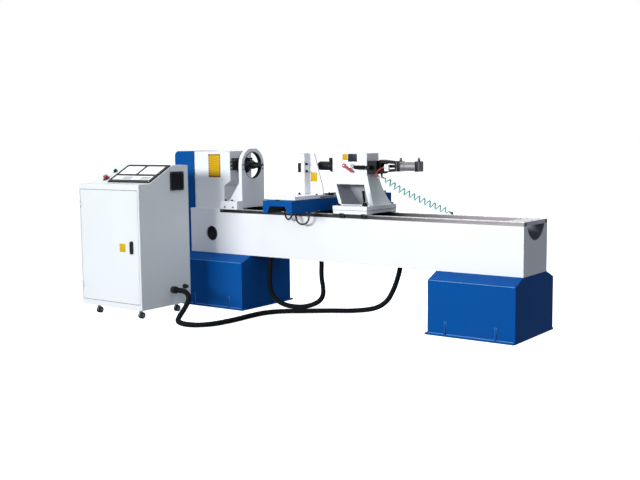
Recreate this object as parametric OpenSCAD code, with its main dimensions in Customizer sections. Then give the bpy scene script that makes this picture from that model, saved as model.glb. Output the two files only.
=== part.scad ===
// Automatic wood lathe: a welded box bed on two bases carries a headstock, a ring rest,
// a cross-sliding tool post and an air-operated tailstock. A control cabinet on casters
// stands in front of the headstock end and feeds the lathe through two corrugated hoses.
// The origin is on the floor under the spindle axis, midway along the headstock-end base.
// +X runs along the bed towards the tailstock, -Y is the operator's side, +Z is up.

/* [Bed] */
// Length of the box bed
bed_len = 3100; // [2800:10:3700]
// Width of the bed, front to back
bed_w = 400; // [380:5:480]
// Height of the bed box
bed_h = 350; // [300:5:420]
// Height of the bed's top face above the floor
bed_top = 795; // [760:5:950]
// Thickness of the bed's plates
bed_wall = 15; // [10:1:25]
// Width of the slot between the two ways
slot_w = 310; // [280:2:330]
// Radius of the half-round chip mouth in the bed's end
mouth_r = 158; // [120:1:175]
// Height of the chip mouth's centre above the bed's top
mouth_lift = 48; // [20:1:80]
// Diameter of the inspection hole in the bed's front
sight_d = 126; // [80:2:150]

/* [Bases] */
// Length of each base along the bed
base_len = 676; // [500:2:760]
// Depth of each base, front to back
base_depth = 650; // [560:2:760]
// Height of the upright part of a base's front and back
base_straight = 394; // [300:2:420]
// Thickness of the bases' plates
base_wall = 10; // [6:1:16]
// Thickness of the foot plate
foot_t = 14; // [10:1:30]
// How far the foot plate stands out
foot_lip = 16; // [10:1:40]
// Width of the foot plate inside the walls
foot_in = 70; // [50:1:100]
// Distance of an anchor hole from the base's faces
anchor_inset = 45; // [35:1:55]
// Diameter of the anchor holes
anchor_d = 18; // [13:1:22]

/* [Ways] */
// Height of the hardened ways
way_h = 28; // [20:1:40]
// Width of each way
way_w = 45; // [35:1:60]
// Length of the seat plate under the headstock
seat_len = 340; // [300:5:420]

/* [Headstock] */
// Height of the spindle axis above the floor
axis_h = 1190; // [1150:5:1330]
// Width of the headstock, front to back
head_w = 280; // [240:2:320]
// Length of the headstock at its top
head_len = 410; // [380:5:460]
// Height of the headstock's top above the spindle axis
head_rise = 120; // [100:2:150]
// Height of the two blocks that keep the front bearing in
keeper_h = 76; // [60:2:110]
// Outer diameter of the spindle bearings
bearing_d = 140; // [120:2:160]
// Width of one spindle bearing
bearing_w = 40; // [30:1:50]
// Length of the belt guard
guard_len = 225; // [190:5:260]
// Width of the belt guard
guard_w = 300; // [270:2:330]
// Radius of the belt guard's top corner
guard_r = 45; // [20:1:70]
// Sheet thickness of the belt guard
guard_t = 4; // [2:0.5:6]

/* [Spindle and drive] */
// Diameter of the spindle
shaft_d = 85; // [70:1:95]
// Diameter of the spindle's tail, where the pulley sits
tail_d = 60; // [45:1:65]
// Diameter of the driving disc
disc_d = 134; // [122:1:160]
// Thickness of the driving disc
disc_t = 18; // [14:1:40]
// Diameter of the driving centre's hub
hub_d = 64; // [40:1:70]
// Pitch circle of the faceplate holes in the disc
plate_pcd = 98; // [85:1:105]
// Diameter of the faceplate holes
plate_hole_d = 9; // [7:0.5:11]
// Belt seat diameter of the spindle pulley
big_pulley_d = 160; // [140:2:180]
// Belt seat diameter of the motor pulley
small_pulley_d = 120; // [90:2:130]
// Width of the pulleys
pulley_w = 60; // [40:2:80]
// Thickness of the drive belt
belt_t = 8; // [5:0.5:10]
// Diameter of the motor's frame
motor_d = 210; // [180:2:230]
// Height of the motor shaft above the bed's floor plate
motor_rise = 150; // [130:2:160]
// Diameter of the motor shaft
motor_shaft_d = 38; // [28:1:42]

/* [Ring rest] */
// Distance of the ring plate's face from the headstock
ring_gap = 100; // [70:5:160]
// Thickness of the ring plate
ring_t = 35; // [25:1:45]
// Width of the ring plate
ring_w = 292; // [270:2:320]
// Diameter of the hole through the ring plate
ring_hole_d = 228; // [200:2:240]
// Wall of the dark bush in the ring's hole
bush_t = 5; // [3:1:14]
// Width of the ring rest's foot across the bed
cross_foot_w = 428; // [410:2:480]
// Height of the ring rest's foot
ring_foot_h = 70; // [50:2:90]
// Length of the ring rest's foot
ring_foot_len = 180; // [150:2:220]

/* [Carriage] */
// Distance of the carriage's left side from the spindle nose end of the bed
carriage_x = 732; // [700:2:760]
// Width of the carriage casting along the bed
carriage_w = 282; // [250:2:300]
// Reach of the carriage in front of the spindle axis
carriage_front = 513; // [450:1:560]
// Reach of the carriage behind the spindle axis
carriage_rear = 924; // [800:2:960]
// Height of the carriage casting
carriage_h = 96; // [80:1:110]
// Thickness of the carriage's top wall
carriage_roof = 40; // [30:1:50]
// Width of the carriage's legs at their feet
leg_foot_w = 42; // [34:1:50]
// Width of the carriage's legs at the roof
leg_top_w = 66; // [60:1:80]
// Height of the cross rails
cross_rail_h = 20; // [15:1:26]
// Width of the cross rails
cross_rail_w = 32; // [24:1:36]
// Diameter of the lengthwise ball screw
x_screw_d = 32; // [25:1:40]
// Diameter of the cross ball screw
y_screw_d = 16; // [12:1:20]

/* [Tool post] */
// Thickness of the tool slide plate
slide_t = 13; // [10:1:20]
// Length of the tool slide's skirted part
skirt_len = 324; // [260:2:360]
// Thickness of the tool slide's front apron
apron_t = 10; // [6:1:16]
// Thickness of the tool post's plate
post_t = 34; // [25:1:45]
// Width of the tool post's plate
post_w = 95; // [80:1:100]
// Height of the tool post's top above the spindle axis
post_rise = 101; // [80:1:130]
// Thickness of the tool post's web
web_t = 12; // [8:1:16]
// Size of the turning tool's shank
shank = 16; // [10:1:20]

/* [Tailstock] */
// Distance of the tailstock's left foot from the carriage
tail_gap = 170; // [160:2:260]
// Length of the tailstock's foot
tail_len = 315; // [290:5:360]
// Length of the tailstock's head
tail_head_len = 321; // [300:1:340]
// Width of the tailstock's head, front to back
tail_head_w = 166; // [140:2:190]
// Height of the tailstock's top above the spindle axis
tail_rise = 100; // [80:2:130]
// Height of the tailstock's window top above its foot
window_h = 160; // [120:2:180]
// Wall of the tailstock casting
tail_wall = 15; // [10:1:22]
// Height of each layer of the tailstock's foot
foot_layer = 33; // [25:1:40]
// Diameter of the quill
quill_d = 72; // [60:1:80]
// Length of the quill in front of the head
quill_out = 250; // [190:5:260]
// Diameter of the live centre's shank
centre_shank_d = 24; // [18:1:30]

/* [Air cylinder] */
// Length of the block that carries the cylinder
block_len = 84; // [60:2:110]
// Length of the open bracket
bracket_len = 152; // [100:1:180]
// Size of the cylinder's square heads
cyl_head = 76; // [66:1:86]
// Diameter of the cylinder barrel
cyl_d = 71; // [60:1:80]
// Length of the cylinder barrel
cyl_len = 123; // [122:1:170]
// Diameter of the piston rod
rod_d = 24; // [16:1:30]

/* [Cabinet] */
// Width of the control cabinet
cab_w = 700; // [600:5:800]
// Depth of the control cabinet
cab_depth = 545; // [480:5:600]
// Height of the cabinet's ledge above the floor
cab_ledge = 1067; // [1000:1:1120]
// Height of the cabinet's top above the floor
cab_top = 1205; // [1160:5:1260]
// Depth of the ledge in front of the console
ledge_depth = 116; // [90:1:140]
// Depth of the flat top behind the console
flat_depth = 172; // [140:1:200]
// Height of the cabinet's floor above the ground
cab_bottom = 80; // [70:1:100]
// Sheet thickness of the cabinet
sheet_t = 3; // [2:0.5:5]
// Distance of the cabinet's right side from the origin
cab_x = -14; // [-60:2:20]
// Distance of the cabinet's front from the spindle axis
cab_y = -1108; // [-1200:2:-1080]
// Gap round the cabinet door
door_gap = 3; // [2:0.5:5]
// Thickness of the cabinet door
door_t = 18; // [14:1:24]
// Width of the control panel
panel_w = 480; // [400:5:500]
// Radius of a caster wheel
wheel_r = 26; // [22:1:30]

/* [Hoses] */
// Outer diameter of the corrugated hoses
hose_d = 42; // [28:1:44]
// Outer diameter of the spiral air hose's coil
spiral_d = 50; // [40:1:56]
// Diameter of the carriage cables
cable_d = 15; // [6:0.5:18]

/* [Hidden] */
$fn = 48;

run = 0.05;      // radial clearance of a running fit
free = 0.3;      // gap between faces that slide or swing past each other

// Bed
bed_x0 = -base_len / 2;
bed_x1 = bed_x0 + bed_len;
bed_z0 = bed_top - bed_h;
half_bed = bed_w / 2;
half_slot = slot_w / 2;
seat_x1 = bed_x0 + seat_len;
way_top = bed_top + way_h;
way_groove = 3;
end_plate_len = 150;
far_base_x = bed_x1 - base_len / 2;
sight_x = -98;
sight_z = bed_z0 + 166;
gusset_t = 14;
gusset_h = 95;
gusset_x = 195;

// Headstock
head_x0 = bed_x0;
head_x1 = head_x0 + head_len;
head_top = axis_h + head_rise;
knee_in = 70;
knee_high = axis_h - 128;
knee_low = axis_h - 176;
front_bearing_x = head_x1 - bearing_w;
keeper_t = 30;
guard_x0 = head_x0 - guard_len;
guard_z0 = bed_z0 + 15;
motor_z = bed_z0 + bed_wall + motor_rise;
motor_x0 = bed_x0 + 40;
motor_len = 265;
pulley_x = guard_x0 + 45;
flange_t = 4;
flange_h = 10;
plate_holes = 4;
belt_steps = 32;

// Spindle
disc_x = head_x1 + 40;
hub_x = disc_x + disc_t;
hub_len = 92;
cone_x = hub_x + hub_len;
point_len = 110;

// Ring rest
ring_x = head_x1 + ring_gap;
ring_x1 = ring_x + ring_t;
ring_foot_x = ring_x1 - ring_foot_len;
ring_foot_top = way_top + ring_foot_h;
ring_top = axis_h + ring_w / 2 - 7;
ring_gusset_t = 14;
ring_gusset_h = 147;

// Lengthwise drive
screw_z = bed_top - 55;
support_x = 240;
support_t = 40;
far_support_x = bed_x1 - 202;
neck_d = x_screw_d - 8;
servo_size = 108;
servo_len = 140;

// Carriage
carriage_x1 = carriage_x + carriage_w;
carriage_mid = carriage_x + carriage_w / 2;
carriage_z0 = way_top + 13;
carriage_top = carriage_z0 + carriage_h;
roof_z = carriage_top - carriage_roof;
nut_len = 80;
nut_w = 70;
cross_rail_inset = 14;
cross_top = carriage_top + cross_rail_h;
channel_w = 44;
channel_depth = 20;
y_screw_z = carriage_top + 2;
y_boss = 20;
y_screw_front = 12 - carriage_front;
y_screw_rear = 700;
screw_tail = 20;
web_in = 2;
carriage_web = 14;
y_servo_len = 120;
y_servo_size = 80;

// Tool slide and post
slide_z = cross_top + free;
slide_top = slide_z + slide_t;
slide_y0 = 43 - carriage_front;
slide_y1 = -70;
rail_y0 = slide_y0 + apron_t + free;
post_x = carriage_x + 116;
post_y = -170;
post_x1 = post_x + post_t;
post_top = axis_h + post_rise;
web_y = -104;
web_top_w = 47;
web_toe = 55;
web_foot_w = carriage_x1 - 2 - post_x1;
holder_w = 36;
tool_tip_y = -42;

// Tailstock
tail_x = carriage_x1 + tail_gap;
tail_x1 = tail_x + tail_len;
sole_top = way_top + free + foot_layer;
tail_foot_top = sole_top + foot_layer;
tail_head_x = tail_x - 89;
tail_head_x1 = tail_head_x + tail_head_len;
tail_top = axis_h + tail_rise;
half_head = tail_head_w / 2;
flare_y = cross_foot_w / 2 - 30;
flare_top = axis_h - 95;
window_top = tail_foot_top + window_h;
quill_tip = tail_head_x - quill_out;
quill_rear = tail_head_x1 - 8;
flare_steps = 8;
flare_power = 1.7;
sole_inset = 2;
shank_len = 60;
centre_len = 68;

// Air cylinder
block_z0 = axis_h - 58;
block_x1 = tail_head_x1 + block_len;
bracket_x1 = block_x1 + bracket_len;
front_head = 35;
barrel_x = bracket_x1 + front_head;
cyl_x1 = barrel_x + cyl_len;
cap_len = 34;
arm_t = 22;
arm_flare = 12;
collar_t = 14;

// Hand levers
valve_x = tail_head_x + 127;
valve_z = axis_h + 6;
lever_len = 91;
lever_w = 20;
lever_fall = 33;
lock_x = tail_head_x1 + 39;
lock_z = axis_h - 6;
lock_y = -half_head - 38;
clamp_x = tail_x1 - 60;
clamp_y = -150;

// Cabinet
cab_x0 = cab_x - cab_w;
cab_y1 = cab_y + cab_depth;
slope_y0 = cab_y + ledge_depth;
slope_y1 = cab_y1 - flat_depth;
slope = atan2(cab_top - cab_ledge, slope_y1 - slope_y0);
slope_len = norm([cab_top - cab_ledge, slope_y1 - slope_y0]);
door_x0 = cab_x0 + 18;
door_x1 = cab_x - 20;
door_z0 = cab_bottom + 45;
door_z1 = cab_ledge - 49;
hinge_r = 5;
hinge_pin_d = 5;
hinge_h = 60;
hinge_x = door_x0 - door_gap / 2;
hinge_zs = [door_z0 + 90, door_z1 - 150];
panel_t = 12;
panel_edge = 10;
panel_bar = 28;
panel_h = slope_len - 24;
key_strip = 62;
handle_x = cab_x - 89;
handle_z = 573;
handle_drop = 32;
handle_w = 22;
handle_half = 40;
handle_slot = 5;
handle_y = cab_y - 20;
caster_xs = [cab_x0 + 118, cab_x - 90];
caster_ys = [cab_y + 65, cab_y1 - 85];
plate_t = 4;
trail = 14;
fork_gap = 8;
wheel_t = 10;
wheel_out = fork_gap / 2 + free + wheel_t;
gland_y = cab_y + 340;
gland_z = 205;
supply_y = cab_y + 469;
supply_z = 218;
estop_x = cab_x - 559;
estop_up = 66;
selector_x = cab_x - 559;
selector_up = 181;

// Hose routes: the points that each hose passes through
hose_ref = [1, -1, 1];
cabinet_route = [[26, -768, 205], [66, -768, 205], [120, -768, 200], [163, -776, 176],
    [187, -800, 140], [196, -835, 104], [208, -888, 66], [237, -958, 35], [290, -1024, 23],
    [360, -1072, 23], [445, -1094, 23], [530, -1068, 23], [588, -998, 23], [617, -900, 23],
    [630, -740, 23], [626, -560, 23], [640, -400, 23], [715, -270, 23], [850, -165, 23],
    [1020, -40, 23], [1200, 62, 26], [1370, 100, 58], [1480, 100, 127], [1545, 100, 230],
    [1585, 100, 335], [1600, 100, bed_z0 - 50], [1600, 100, bed_z0 - 20]];
loop_route = [[416, -40, bed_z0 - 20], [416, -40, bed_z0 - 60], [409, -40, 290], [406, -40, 190],
    [431, -40, 110], [490, -40, 55], [570, -40, 29], [650, -40, 23], [730, -40, 26],
    [805, -40, 42], [872, -40, 66], [926, -40, 99], [957, -40, 147], [959, -40, 207],
    [948, -40, 270], [944, -40, 330], [946, -40, bed_z0 - 60], [946, -40, bed_z0 - 20]];
spiral_route = [[1498, 20, 1100], [1590, 56, 1030], [1690, 100, 970], [1790, 146, 918],
    [1885, 190, 873], [1968, 234, 834]];
front_cable = [[753, -262, 836], [753, -262, 812], [763, -262, 783], [788, -262, 770],
    [812, -262, 788], [824, -262, 826], [826, -262, 868], [826, -262, 892]];
socket_d = 16;
socket_reach = 14;
hose_in = spiral_route[0] + socket_reach * unit(spiral_route[0] - spiral_route[1]);
hose_out = spiral_route[5] + socket_reach * unit(spiral_route[5] - spiral_route[4]);
hose_ends = [cabinet_route[len(cabinet_route) - 1], loop_route[0], loop_route[len(loop_route) - 1]];
rear_cable = [[990, -262, 836], [990, -262, 812], [982, -262, 768], [950, -262, 741],
    [908, -262, 738], [872, -262, 762], [856, -262, 812], [852, -262, 866], [852, -262, 892]];

// ---- shared shapes ----

module block(x, y, z) {
    translate([x[0], y[0], z[0]])
        cube([x[1] - x[0], y[1] - y[0], z[1] - z[0]]);
}

module rod_x(d, x0, x1, y = 0, z = 0) {
    translate([x0, y, z])
        rotate([0, 90, 0])
            cylinder(d = d, h = x1 - x0);
}

module rod_y(d, y0, y1, x = 0, z = 0) {
    translate([x, y1, z])
        rotate([90, 0, 0])
            cylinder(d = d, h = y1 - y0);
}

module rod_z(d, z0, z1, x = 0, y = 0) {
    translate([x, y, z0])
        cylinder(d = d, h = z1 - z0);
}

// A front-view outline, points in X and Z, given a depth from y0 to y1
module front_profile(points, y0, y1) {
    translate([0, y1, 0])
        rotate([90, 0, 0])
            linear_extrude(y1 - y0)
                polygon(points);
}

// An end-view outline, points in Y and Z, given a length from x0 to x1
module end_profile(points, x0, x1) {
    translate([x0, 0, 0])
        rotate([90, 0, 90])
            linear_extrude(x1 - x0)
                polygon(points);
}

// Parts turned about the X axis: pairs of distance along X and radius
module turned_x(points, z) {
    translate([0, 0, z])
        rotate([0, 90, 0])
            rotate_extrude()
                polygon([for (p = points) [p[1], p[0]]]);
}

// A hose elbow: a ball at one place and a short spigot that reaches to another
module elbow(from, to) {
    d = to - from;
    translate(from) {
        sphere(d = socket_d + 4);
        rotate([0, acos(d[2] / norm(d)), atan2(d[1], d[0])])
            cylinder(d = socket_d, h = norm(d) - run);
    }
}

function unit(v) = v / norm(v);

// One point of a smooth curve through p1 and p2, a share t of the way along
function between(p0, p1, p2, p3, t) =
    0.5 * (2 * p1 + (p2 - p0) * t + (2 * p0 - 5 * p1 + 4 * p2 - p3) * t * t
        + (3 * p1 - p0 - 3 * p2 + p3) * t * t * t);

// A smooth curve through a route's points, with a number of steps between each two
function smooth(p, steps) = [
    for (i = [0:len(p) - 2], j = [0:steps - 1])
        between(p[max(i - 1, 0)], p[i], p[i + 1], p[min(i + 2, len(p) - 1)], j / steps),
    p[len(p) - 1]];

// The direction of a curve at a point; its two ends keep the route's own directions
function heading(c, p, i) =
    i == 0 ? unit(p[1] - p[0])
    : i == len(c) - 1 ? unit(p[len(p) - 1] - p[len(p) - 2])
    : unit(c[i + 1] - c[i - 1]);

// A closed tube swept along a smooth route
module tube(p, d, steps, sides, ref) {
    c = smooth(p, steps);
    rings = len(c);
    points = [for (i = [0:rings - 1], j = [0:sides - 1])
        let (t = heading(c, p, i), s = unit(cross(ref, t)), u = cross(t, s), a = 360 * j / sides)
            c[i] + d / 2 * (cos(a) * s + sin(a) * u)];
    walls = [for (i = [0:rings - 2], j = [0:sides - 1])
        let (k = (j + 1) % sides, low = i * sides, high = low + sides)
            [low + j, high + j, high + k, low + k]];
    first = [[for (j = [0:sides - 1]) j]];
    last = [[for (j = [sides - 1:-1:0]) (rings - 1) * sides + j]];
    polyhedron(points, concat(walls, first, last));
}

// ---- bed and bases ----

module bed() {
    color("white")
        difference() {
            block([bed_x0, bed_x1], [-half_bed, half_bed], [bed_z0, bed_top]);
            block([bed_x0 + bed_wall, bed_x1 - bed_wall],
                [-half_bed + bed_wall, half_bed - bed_wall],
                [bed_z0 + bed_wall, bed_top - bed_wall]);
            block([seat_x1, bed_x1 - bed_wall], [-half_slot, half_slot],
                [bed_top - bed_wall - 1, bed_top + 1]);
            // the chip mouth, inspection hole, motor shaft hole and hose holes
            rod_x(2 * mouth_r, bed_x1 - bed_wall - 1, bed_x1 + 1, 0, bed_top + mouth_lift);
            rod_y(sight_d, -half_bed - 1, -half_bed + bed_wall + 1, sight_x, sight_z);
            rod_x(motor_shaft_d + 30, bed_x0 - 1, bed_x0 + bed_wall + 1, 0, motor_z);
            for (end = hose_ends)
                rod_z(hose_d, bed_z0 - 1, bed_z0 + bed_wall + 1, end[0], end[1]);
        }
}

// The end-view outline of a base, inside or outside its plates
function base_outline(inset) = [
    [-base_depth / 2 + inset, 0], [base_depth / 2 - inset, 0],
    [base_depth / 2 - inset, base_straight - inset / 2],
    [half_bed - inset / 2, bed_z0 - inset], [-half_bed + inset / 2, bed_z0 - inset],
    [-base_depth / 2 + inset, base_straight - inset / 2]];

// A welded base whose foot plate stands out at the front, the back and one end
module base(inner) {
    lip_x = [-base_len / 2 - (inner < 0 ? foot_lip : 0), base_len / 2 + (inner > 0 ? foot_lip : 0)];
    difference() {
        union() {
            end_profile(base_outline(0), -base_len / 2, base_len / 2);
            block(lip_x, [-base_depth / 2 - foot_lip, base_depth / 2 + foot_lip], [0, foot_t]);
            for (x = [-gusset_x, gusset_x], side = [-1, 1])
                end_profile([[side * base_depth / 2, foot_t],
                        [side * (base_depth / 2 + foot_lip), foot_t],
                        [side * base_depth / 2, foot_t + gusset_h]],
                    x - gusset_t / 2, x + gusset_t / 2);
        }
        intersection() {
            end_profile(base_outline(base_wall), -base_len / 2 + base_wall, base_len / 2 - base_wall);
            block([-base_len, base_len], [-base_depth, base_depth], [foot_t, bed_z0]);
        }
        block([-base_len / 2 + foot_in, base_len / 2 - foot_in],
            [-base_depth / 2 + foot_in, base_depth / 2 - foot_in], [-1, foot_t + 1]);
        for (x = [-1, 1], y = [-1, 1])
            rod_z(anchor_d, -1, foot_t + 1, x * (base_len / 2 - anchor_inset),
                y * (base_depth / 2 - anchor_inset));
    }
}

module base_headstock_end() {
    color("royalblue")
        base(1);
}

module base_tailstock_end() {
    color("royalblue")
        translate([far_base_x, 0, 0])
            base(-1);
}

module headstock_seat() {
    color("white")
        block([bed_x0, seat_x1], [-half_bed, half_bed], [bed_top, way_top]);
}

// Two hardened ways, each with a wiper groove along its outer side
module guide_ways() {
    color("dimgray")
        for (side = [-1, 1])
            scale([1, side, 1])
                difference() {
                    block([seat_x1, bed_x1], [half_slot, half_slot + way_w], [bed_top, way_top]);
                    block([seat_x1 - 1, bed_x1 + 1],
                        [half_slot + way_w - way_groove, half_slot + way_w + 1],
                        [bed_top + way_h * 0.45, bed_top + way_h * 0.6]);
                }
}

module bed_end_plate() {
    color("gainsboro")
        block([bed_x1 - end_plate_len, bed_x1], [-half_slot, half_slot], [bed_top, way_top]);
}

// ---- headstock and drive ----

module headstock() {
    outline = [[head_x0, way_top], [head_x1 - knee_in, way_top], [head_x1 - knee_in, knee_low],
        [head_x1, knee_high], [head_x1, head_top], [head_x0, head_top]];
    color("white")
        difference() {
            front_profile(outline, -head_w / 2, head_w / 2);
            rod_x(bearing_d - 16, head_x0 - 1, head_x1 + 1, 0, axis_h);
            rod_x(bearing_d, head_x0 - 1, head_x0 + bearing_w, 0, axis_h);
            rod_x(bearing_d, front_bearing_x, head_x1 + 1, 0, axis_h);
        }
}

// Two black blocks on the headstock's face, one each side of the spindle, keep its bearing in
module bearing_keeper() {
    color("black")
        difference() {
            block([head_x1, head_x1 + keeper_t], [-head_w / 2 + 2, head_w / 2 - 2],
                [axis_h - keeper_h / 2, axis_h + keeper_h / 2]);
            rod_x(shaft_d + 4, head_x1 - 1, head_x1 + keeper_t + 1, 0, axis_h);
        }
}

module spindle_bearings() {
    color("silver")
        for (x = [head_x0, front_bearing_x])
            difference() {
                rod_x(bearing_d, x, x + bearing_w, 0, axis_h);
                rod_x(shaft_d + 2 * run, x - 1, x + bearing_w + 1, 0, axis_h);
            }
}

// The belt guard's front outline, drawn in by an inset, with a rounded top corner
module guard_outline(inset) {
    r = guard_r - inset;
    x0 = guard_x0 + inset;
    top = head_top + 2 - inset;
    translate([x0, guard_z0 + inset])
        square([guard_len - inset + (inset > 0 ? 1 : 0), top - guard_z0 - inset - r]);
    translate([x0 + r, top - r - 1])
        square([guard_len - inset - r + (inset > 0 ? 1 : 0), r + 1]);
    translate([x0 + r, top - r])
        circle(r);
}

module belt_guard() {
    color("royalblue")
        difference() {
            translate([0, guard_w / 2, 0])
                rotate([90, 0, 0])
                    linear_extrude(guard_w)
                        guard_outline(0);
            translate([0, guard_w / 2 - guard_t, 0])
                rotate([90, 0, 0])
                    linear_extrude(guard_w - 2 * guard_t)
                        guard_outline(guard_t);
        }
}

module spindle() {
    color("black")
        difference() {
            turned_x([[pulley_x - 20, 0], [pulley_x - 20, tail_d / 2], [head_x0 - 12, tail_d / 2],
                    [head_x0 - 12, shaft_d / 2], [disc_x, shaft_d / 2], [disc_x, disc_d / 2],
                    [hub_x, disc_d / 2], [hub_x, hub_d / 2], [cone_x, hub_d / 2],
                    [cone_x, hub_d / 2 - 6], [cone_x + point_len, 2], [cone_x + point_len, 0]],
                axis_h);
            for (i = [0:plate_holes - 1])
                translate([0, 0, axis_h])
                    rotate([45 + i * 360 / plate_holes, 0, 0])
                        rod_x(plate_hole_d, disc_x - 1, hub_x + 1, 0, plate_pcd / 2);
        }
}

// A flanged belt pulley, its seat between two thin flanges
module pulley(d, bore, z) {
    difference() {
        turned_x([[pulley_x, bore / 2], [pulley_x, d / 2 + flange_h],
                [pulley_x + flange_t, d / 2 + flange_h], [pulley_x + flange_t, d / 2],
                [pulley_x + pulley_w - flange_t, d / 2],
                [pulley_x + pulley_w - flange_t, d / 2 + flange_h],
                [pulley_x + pulley_w, d / 2 + flange_h], [pulley_x + pulley_w, bore / 2]], z);
        for (i = [0:4])
            translate([0, 0, z])
                rotate([i * 72, 0, 0])
                    rod_x(d * 0.16, pulley_x - 1, pulley_x + pulley_w + 1, 0, (d + bore) / 4);
    }
}

module spindle_pulley() {
    color("dimgray")
        pulley(big_pulley_d, tail_d, axis_h);
}

module motor_pulley() {
    color("dimgray") {
        pulley(small_pulley_d, motor_shaft_d, motor_z);
        rod_x(motor_shaft_d, pulley_x - 8, motor_x0 + 60, 0, motor_z);
    }
}

// The belt's outline round both pulleys: an arc on each, joined by their common tangents
function belt_outline(grow) =
    let (r1 = small_pulley_d / 2 + grow, r2 = big_pulley_d / 2 + grow,
            lean = asin((r1 - r2) / (axis_h - motor_z)))
        concat(
            [for (i = [0:belt_steps])
                let (a = lean + (180 - 2 * lean) * i / belt_steps)
                    [r2 * cos(a), axis_h + r2 * sin(a)]],
            [for (i = [0:belt_steps])
                let (a = 180 - lean + (180 + 2 * lean) * i / belt_steps)
                    [r1 * cos(a), motor_z + r1 * sin(a)]]);

module drive_belt() {
    x0 = pulley_x + flange_t + free;
    x1 = pulley_x + pulley_w - flange_t - free;
    color("black")
        difference() {
            end_profile(belt_outline(free + belt_t), x0, x1);
            end_profile(belt_outline(free), x0 - 1, x1 + 1);
        }
}

// A foot-mounted motor: a ribbed frame between two end bells, open for its shaft
module spindle_motor() {
    bell = 35;
    ribs = 9;
    color("dimgray")
        difference() {
            union() {
                rod_x(motor_d - 14, motor_x0, motor_x0 + motor_len, 0, motor_z);
                rod_x(motor_d, motor_x0, motor_x0 + bell, 0, motor_z);
                rod_x(motor_d, motor_x0 + motor_len - bell, motor_x0 + motor_len, 0, motor_z);
                for (i = [1:ribs])
                    rod_x(motor_d - 4, motor_x0 + i * motor_len / (ribs + 1) - 3,
                        motor_x0 + i * motor_len / (ribs + 1) + 3, 0, motor_z);
                for (side = [-1, 1])
                    scale([1, side, 1])
                        block([motor_x0 + bell, motor_x0 + motor_len - bell], [55, 110],
                            [bed_z0 + bed_wall, bed_z0 + bed_wall + 80]);
            }
            rod_x(motor_shaft_d + 2 * run, motor_x0 - 1, motor_x0 + 61, 0, motor_z);
        }
}

// ---- ring rest ----

module ring_rest() {
    half = ring_w / 2;
    color("white")
        difference() {
            union() {
                block([ring_foot_x, ring_x1], [-cross_foot_w / 2, cross_foot_w / 2],
                    [way_top, ring_foot_top]);
                block([ring_x, ring_x1], [-half, half], [ring_foot_top - 1, axis_h]);
                intersection() {
                    rod_x(ring_w, ring_x, ring_x1, 0, axis_h);
                    block([ring_x - 1, ring_x1 + 1], [-half, half], [axis_h - 1, ring_top]);
                }
                for (side = [-1, 1])
                    front_profile([[ring_foot_x + 35, ring_foot_top - 1], [ring_x + 1, ring_foot_top - 1],
                            [ring_x + 1, ring_foot_top + ring_gusset_h],
                            [ring_x, ring_foot_top + ring_gusset_h]],
                        side * (half - ring_gusset_t / 2) - ring_gusset_t / 2,
                        side * (half - ring_gusset_t / 2) + ring_gusset_t / 2);
            }
            rod_x(ring_hole_d, ring_x - 1, ring_x1 + 1, 0, axis_h);
            // the foot's underside clears the slot between the ways
            block([ring_foot_x - 1, ring_x1 + 1], [-half_slot + 20, half_slot - 20],
                [way_top - 1, way_top + 12]);
        }
}

module ring_bush() {
    color("black")
        difference() {
            rod_x(ring_hole_d, ring_x, ring_x1, 0, axis_h);
            rod_x(ring_hole_d - 2 * bush_t, ring_x - 1, ring_x1 + 1, 0, axis_h);
        }
}

// ---- lengthwise drive ----

module screw_supports() {
    color("silver")
        for (x = [support_x, far_support_x])
            difference() {
                block([x, x + support_t], [-half_bed + bed_wall, half_bed - bed_wall],
                    [screw_z - 25, screw_z + 25]);
                rod_x(neck_d + 2 * run, x - 1, x + support_t + 1, 0, screw_z);
            }
}

module x_servo() {
    half = servo_size / 2;
    body_x = support_x - 20 - servo_len;
    color("black")
        difference() {
            union() {
                block([support_x - 20, support_x], [-half, half], [screw_z - half, screw_z + half - 1]);
                block([body_x, support_x - 19], [-half + 8, half - 8],
                    [screw_z - half + 8, screw_z + half - 9]);
                block([body_x + 12, body_x + 52], [-half - 18, -half + 9], [screw_z - 20, screw_z + 20]);
            }
            rod_x(neck_d + 2 * run, support_x - 45, support_x + 1, 0, screw_z);
        }
}

module x_screw() {
    color("silver")
        turned_x([[support_x - 40, 0], [support_x - 40, neck_d / 2],
                [support_x + support_t + free, neck_d / 2],
                [support_x + support_t + free, x_screw_d / 2],
                [far_support_x - free, x_screw_d / 2], [far_support_x - free, neck_d / 2],
                [far_support_x + support_t + 6, neck_d / 2],
                [far_support_x + support_t + 6, 0]], screw_z);
}

// ---- carriage ----

// The carriage's channel section: a roof on two legs whose inner faces splay
function channel_outline() = [
    [carriage_x, carriage_z0], [carriage_x + leg_foot_w, carriage_z0],
    [carriage_x + leg_top_w, roof_z], [carriage_x1 - leg_top_w, roof_z],
    [carriage_x1 - leg_foot_w, carriage_z0], [carriage_x1, carriage_z0],
    [carriage_x1, carriage_top], [carriage_x, carriage_top]];

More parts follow.
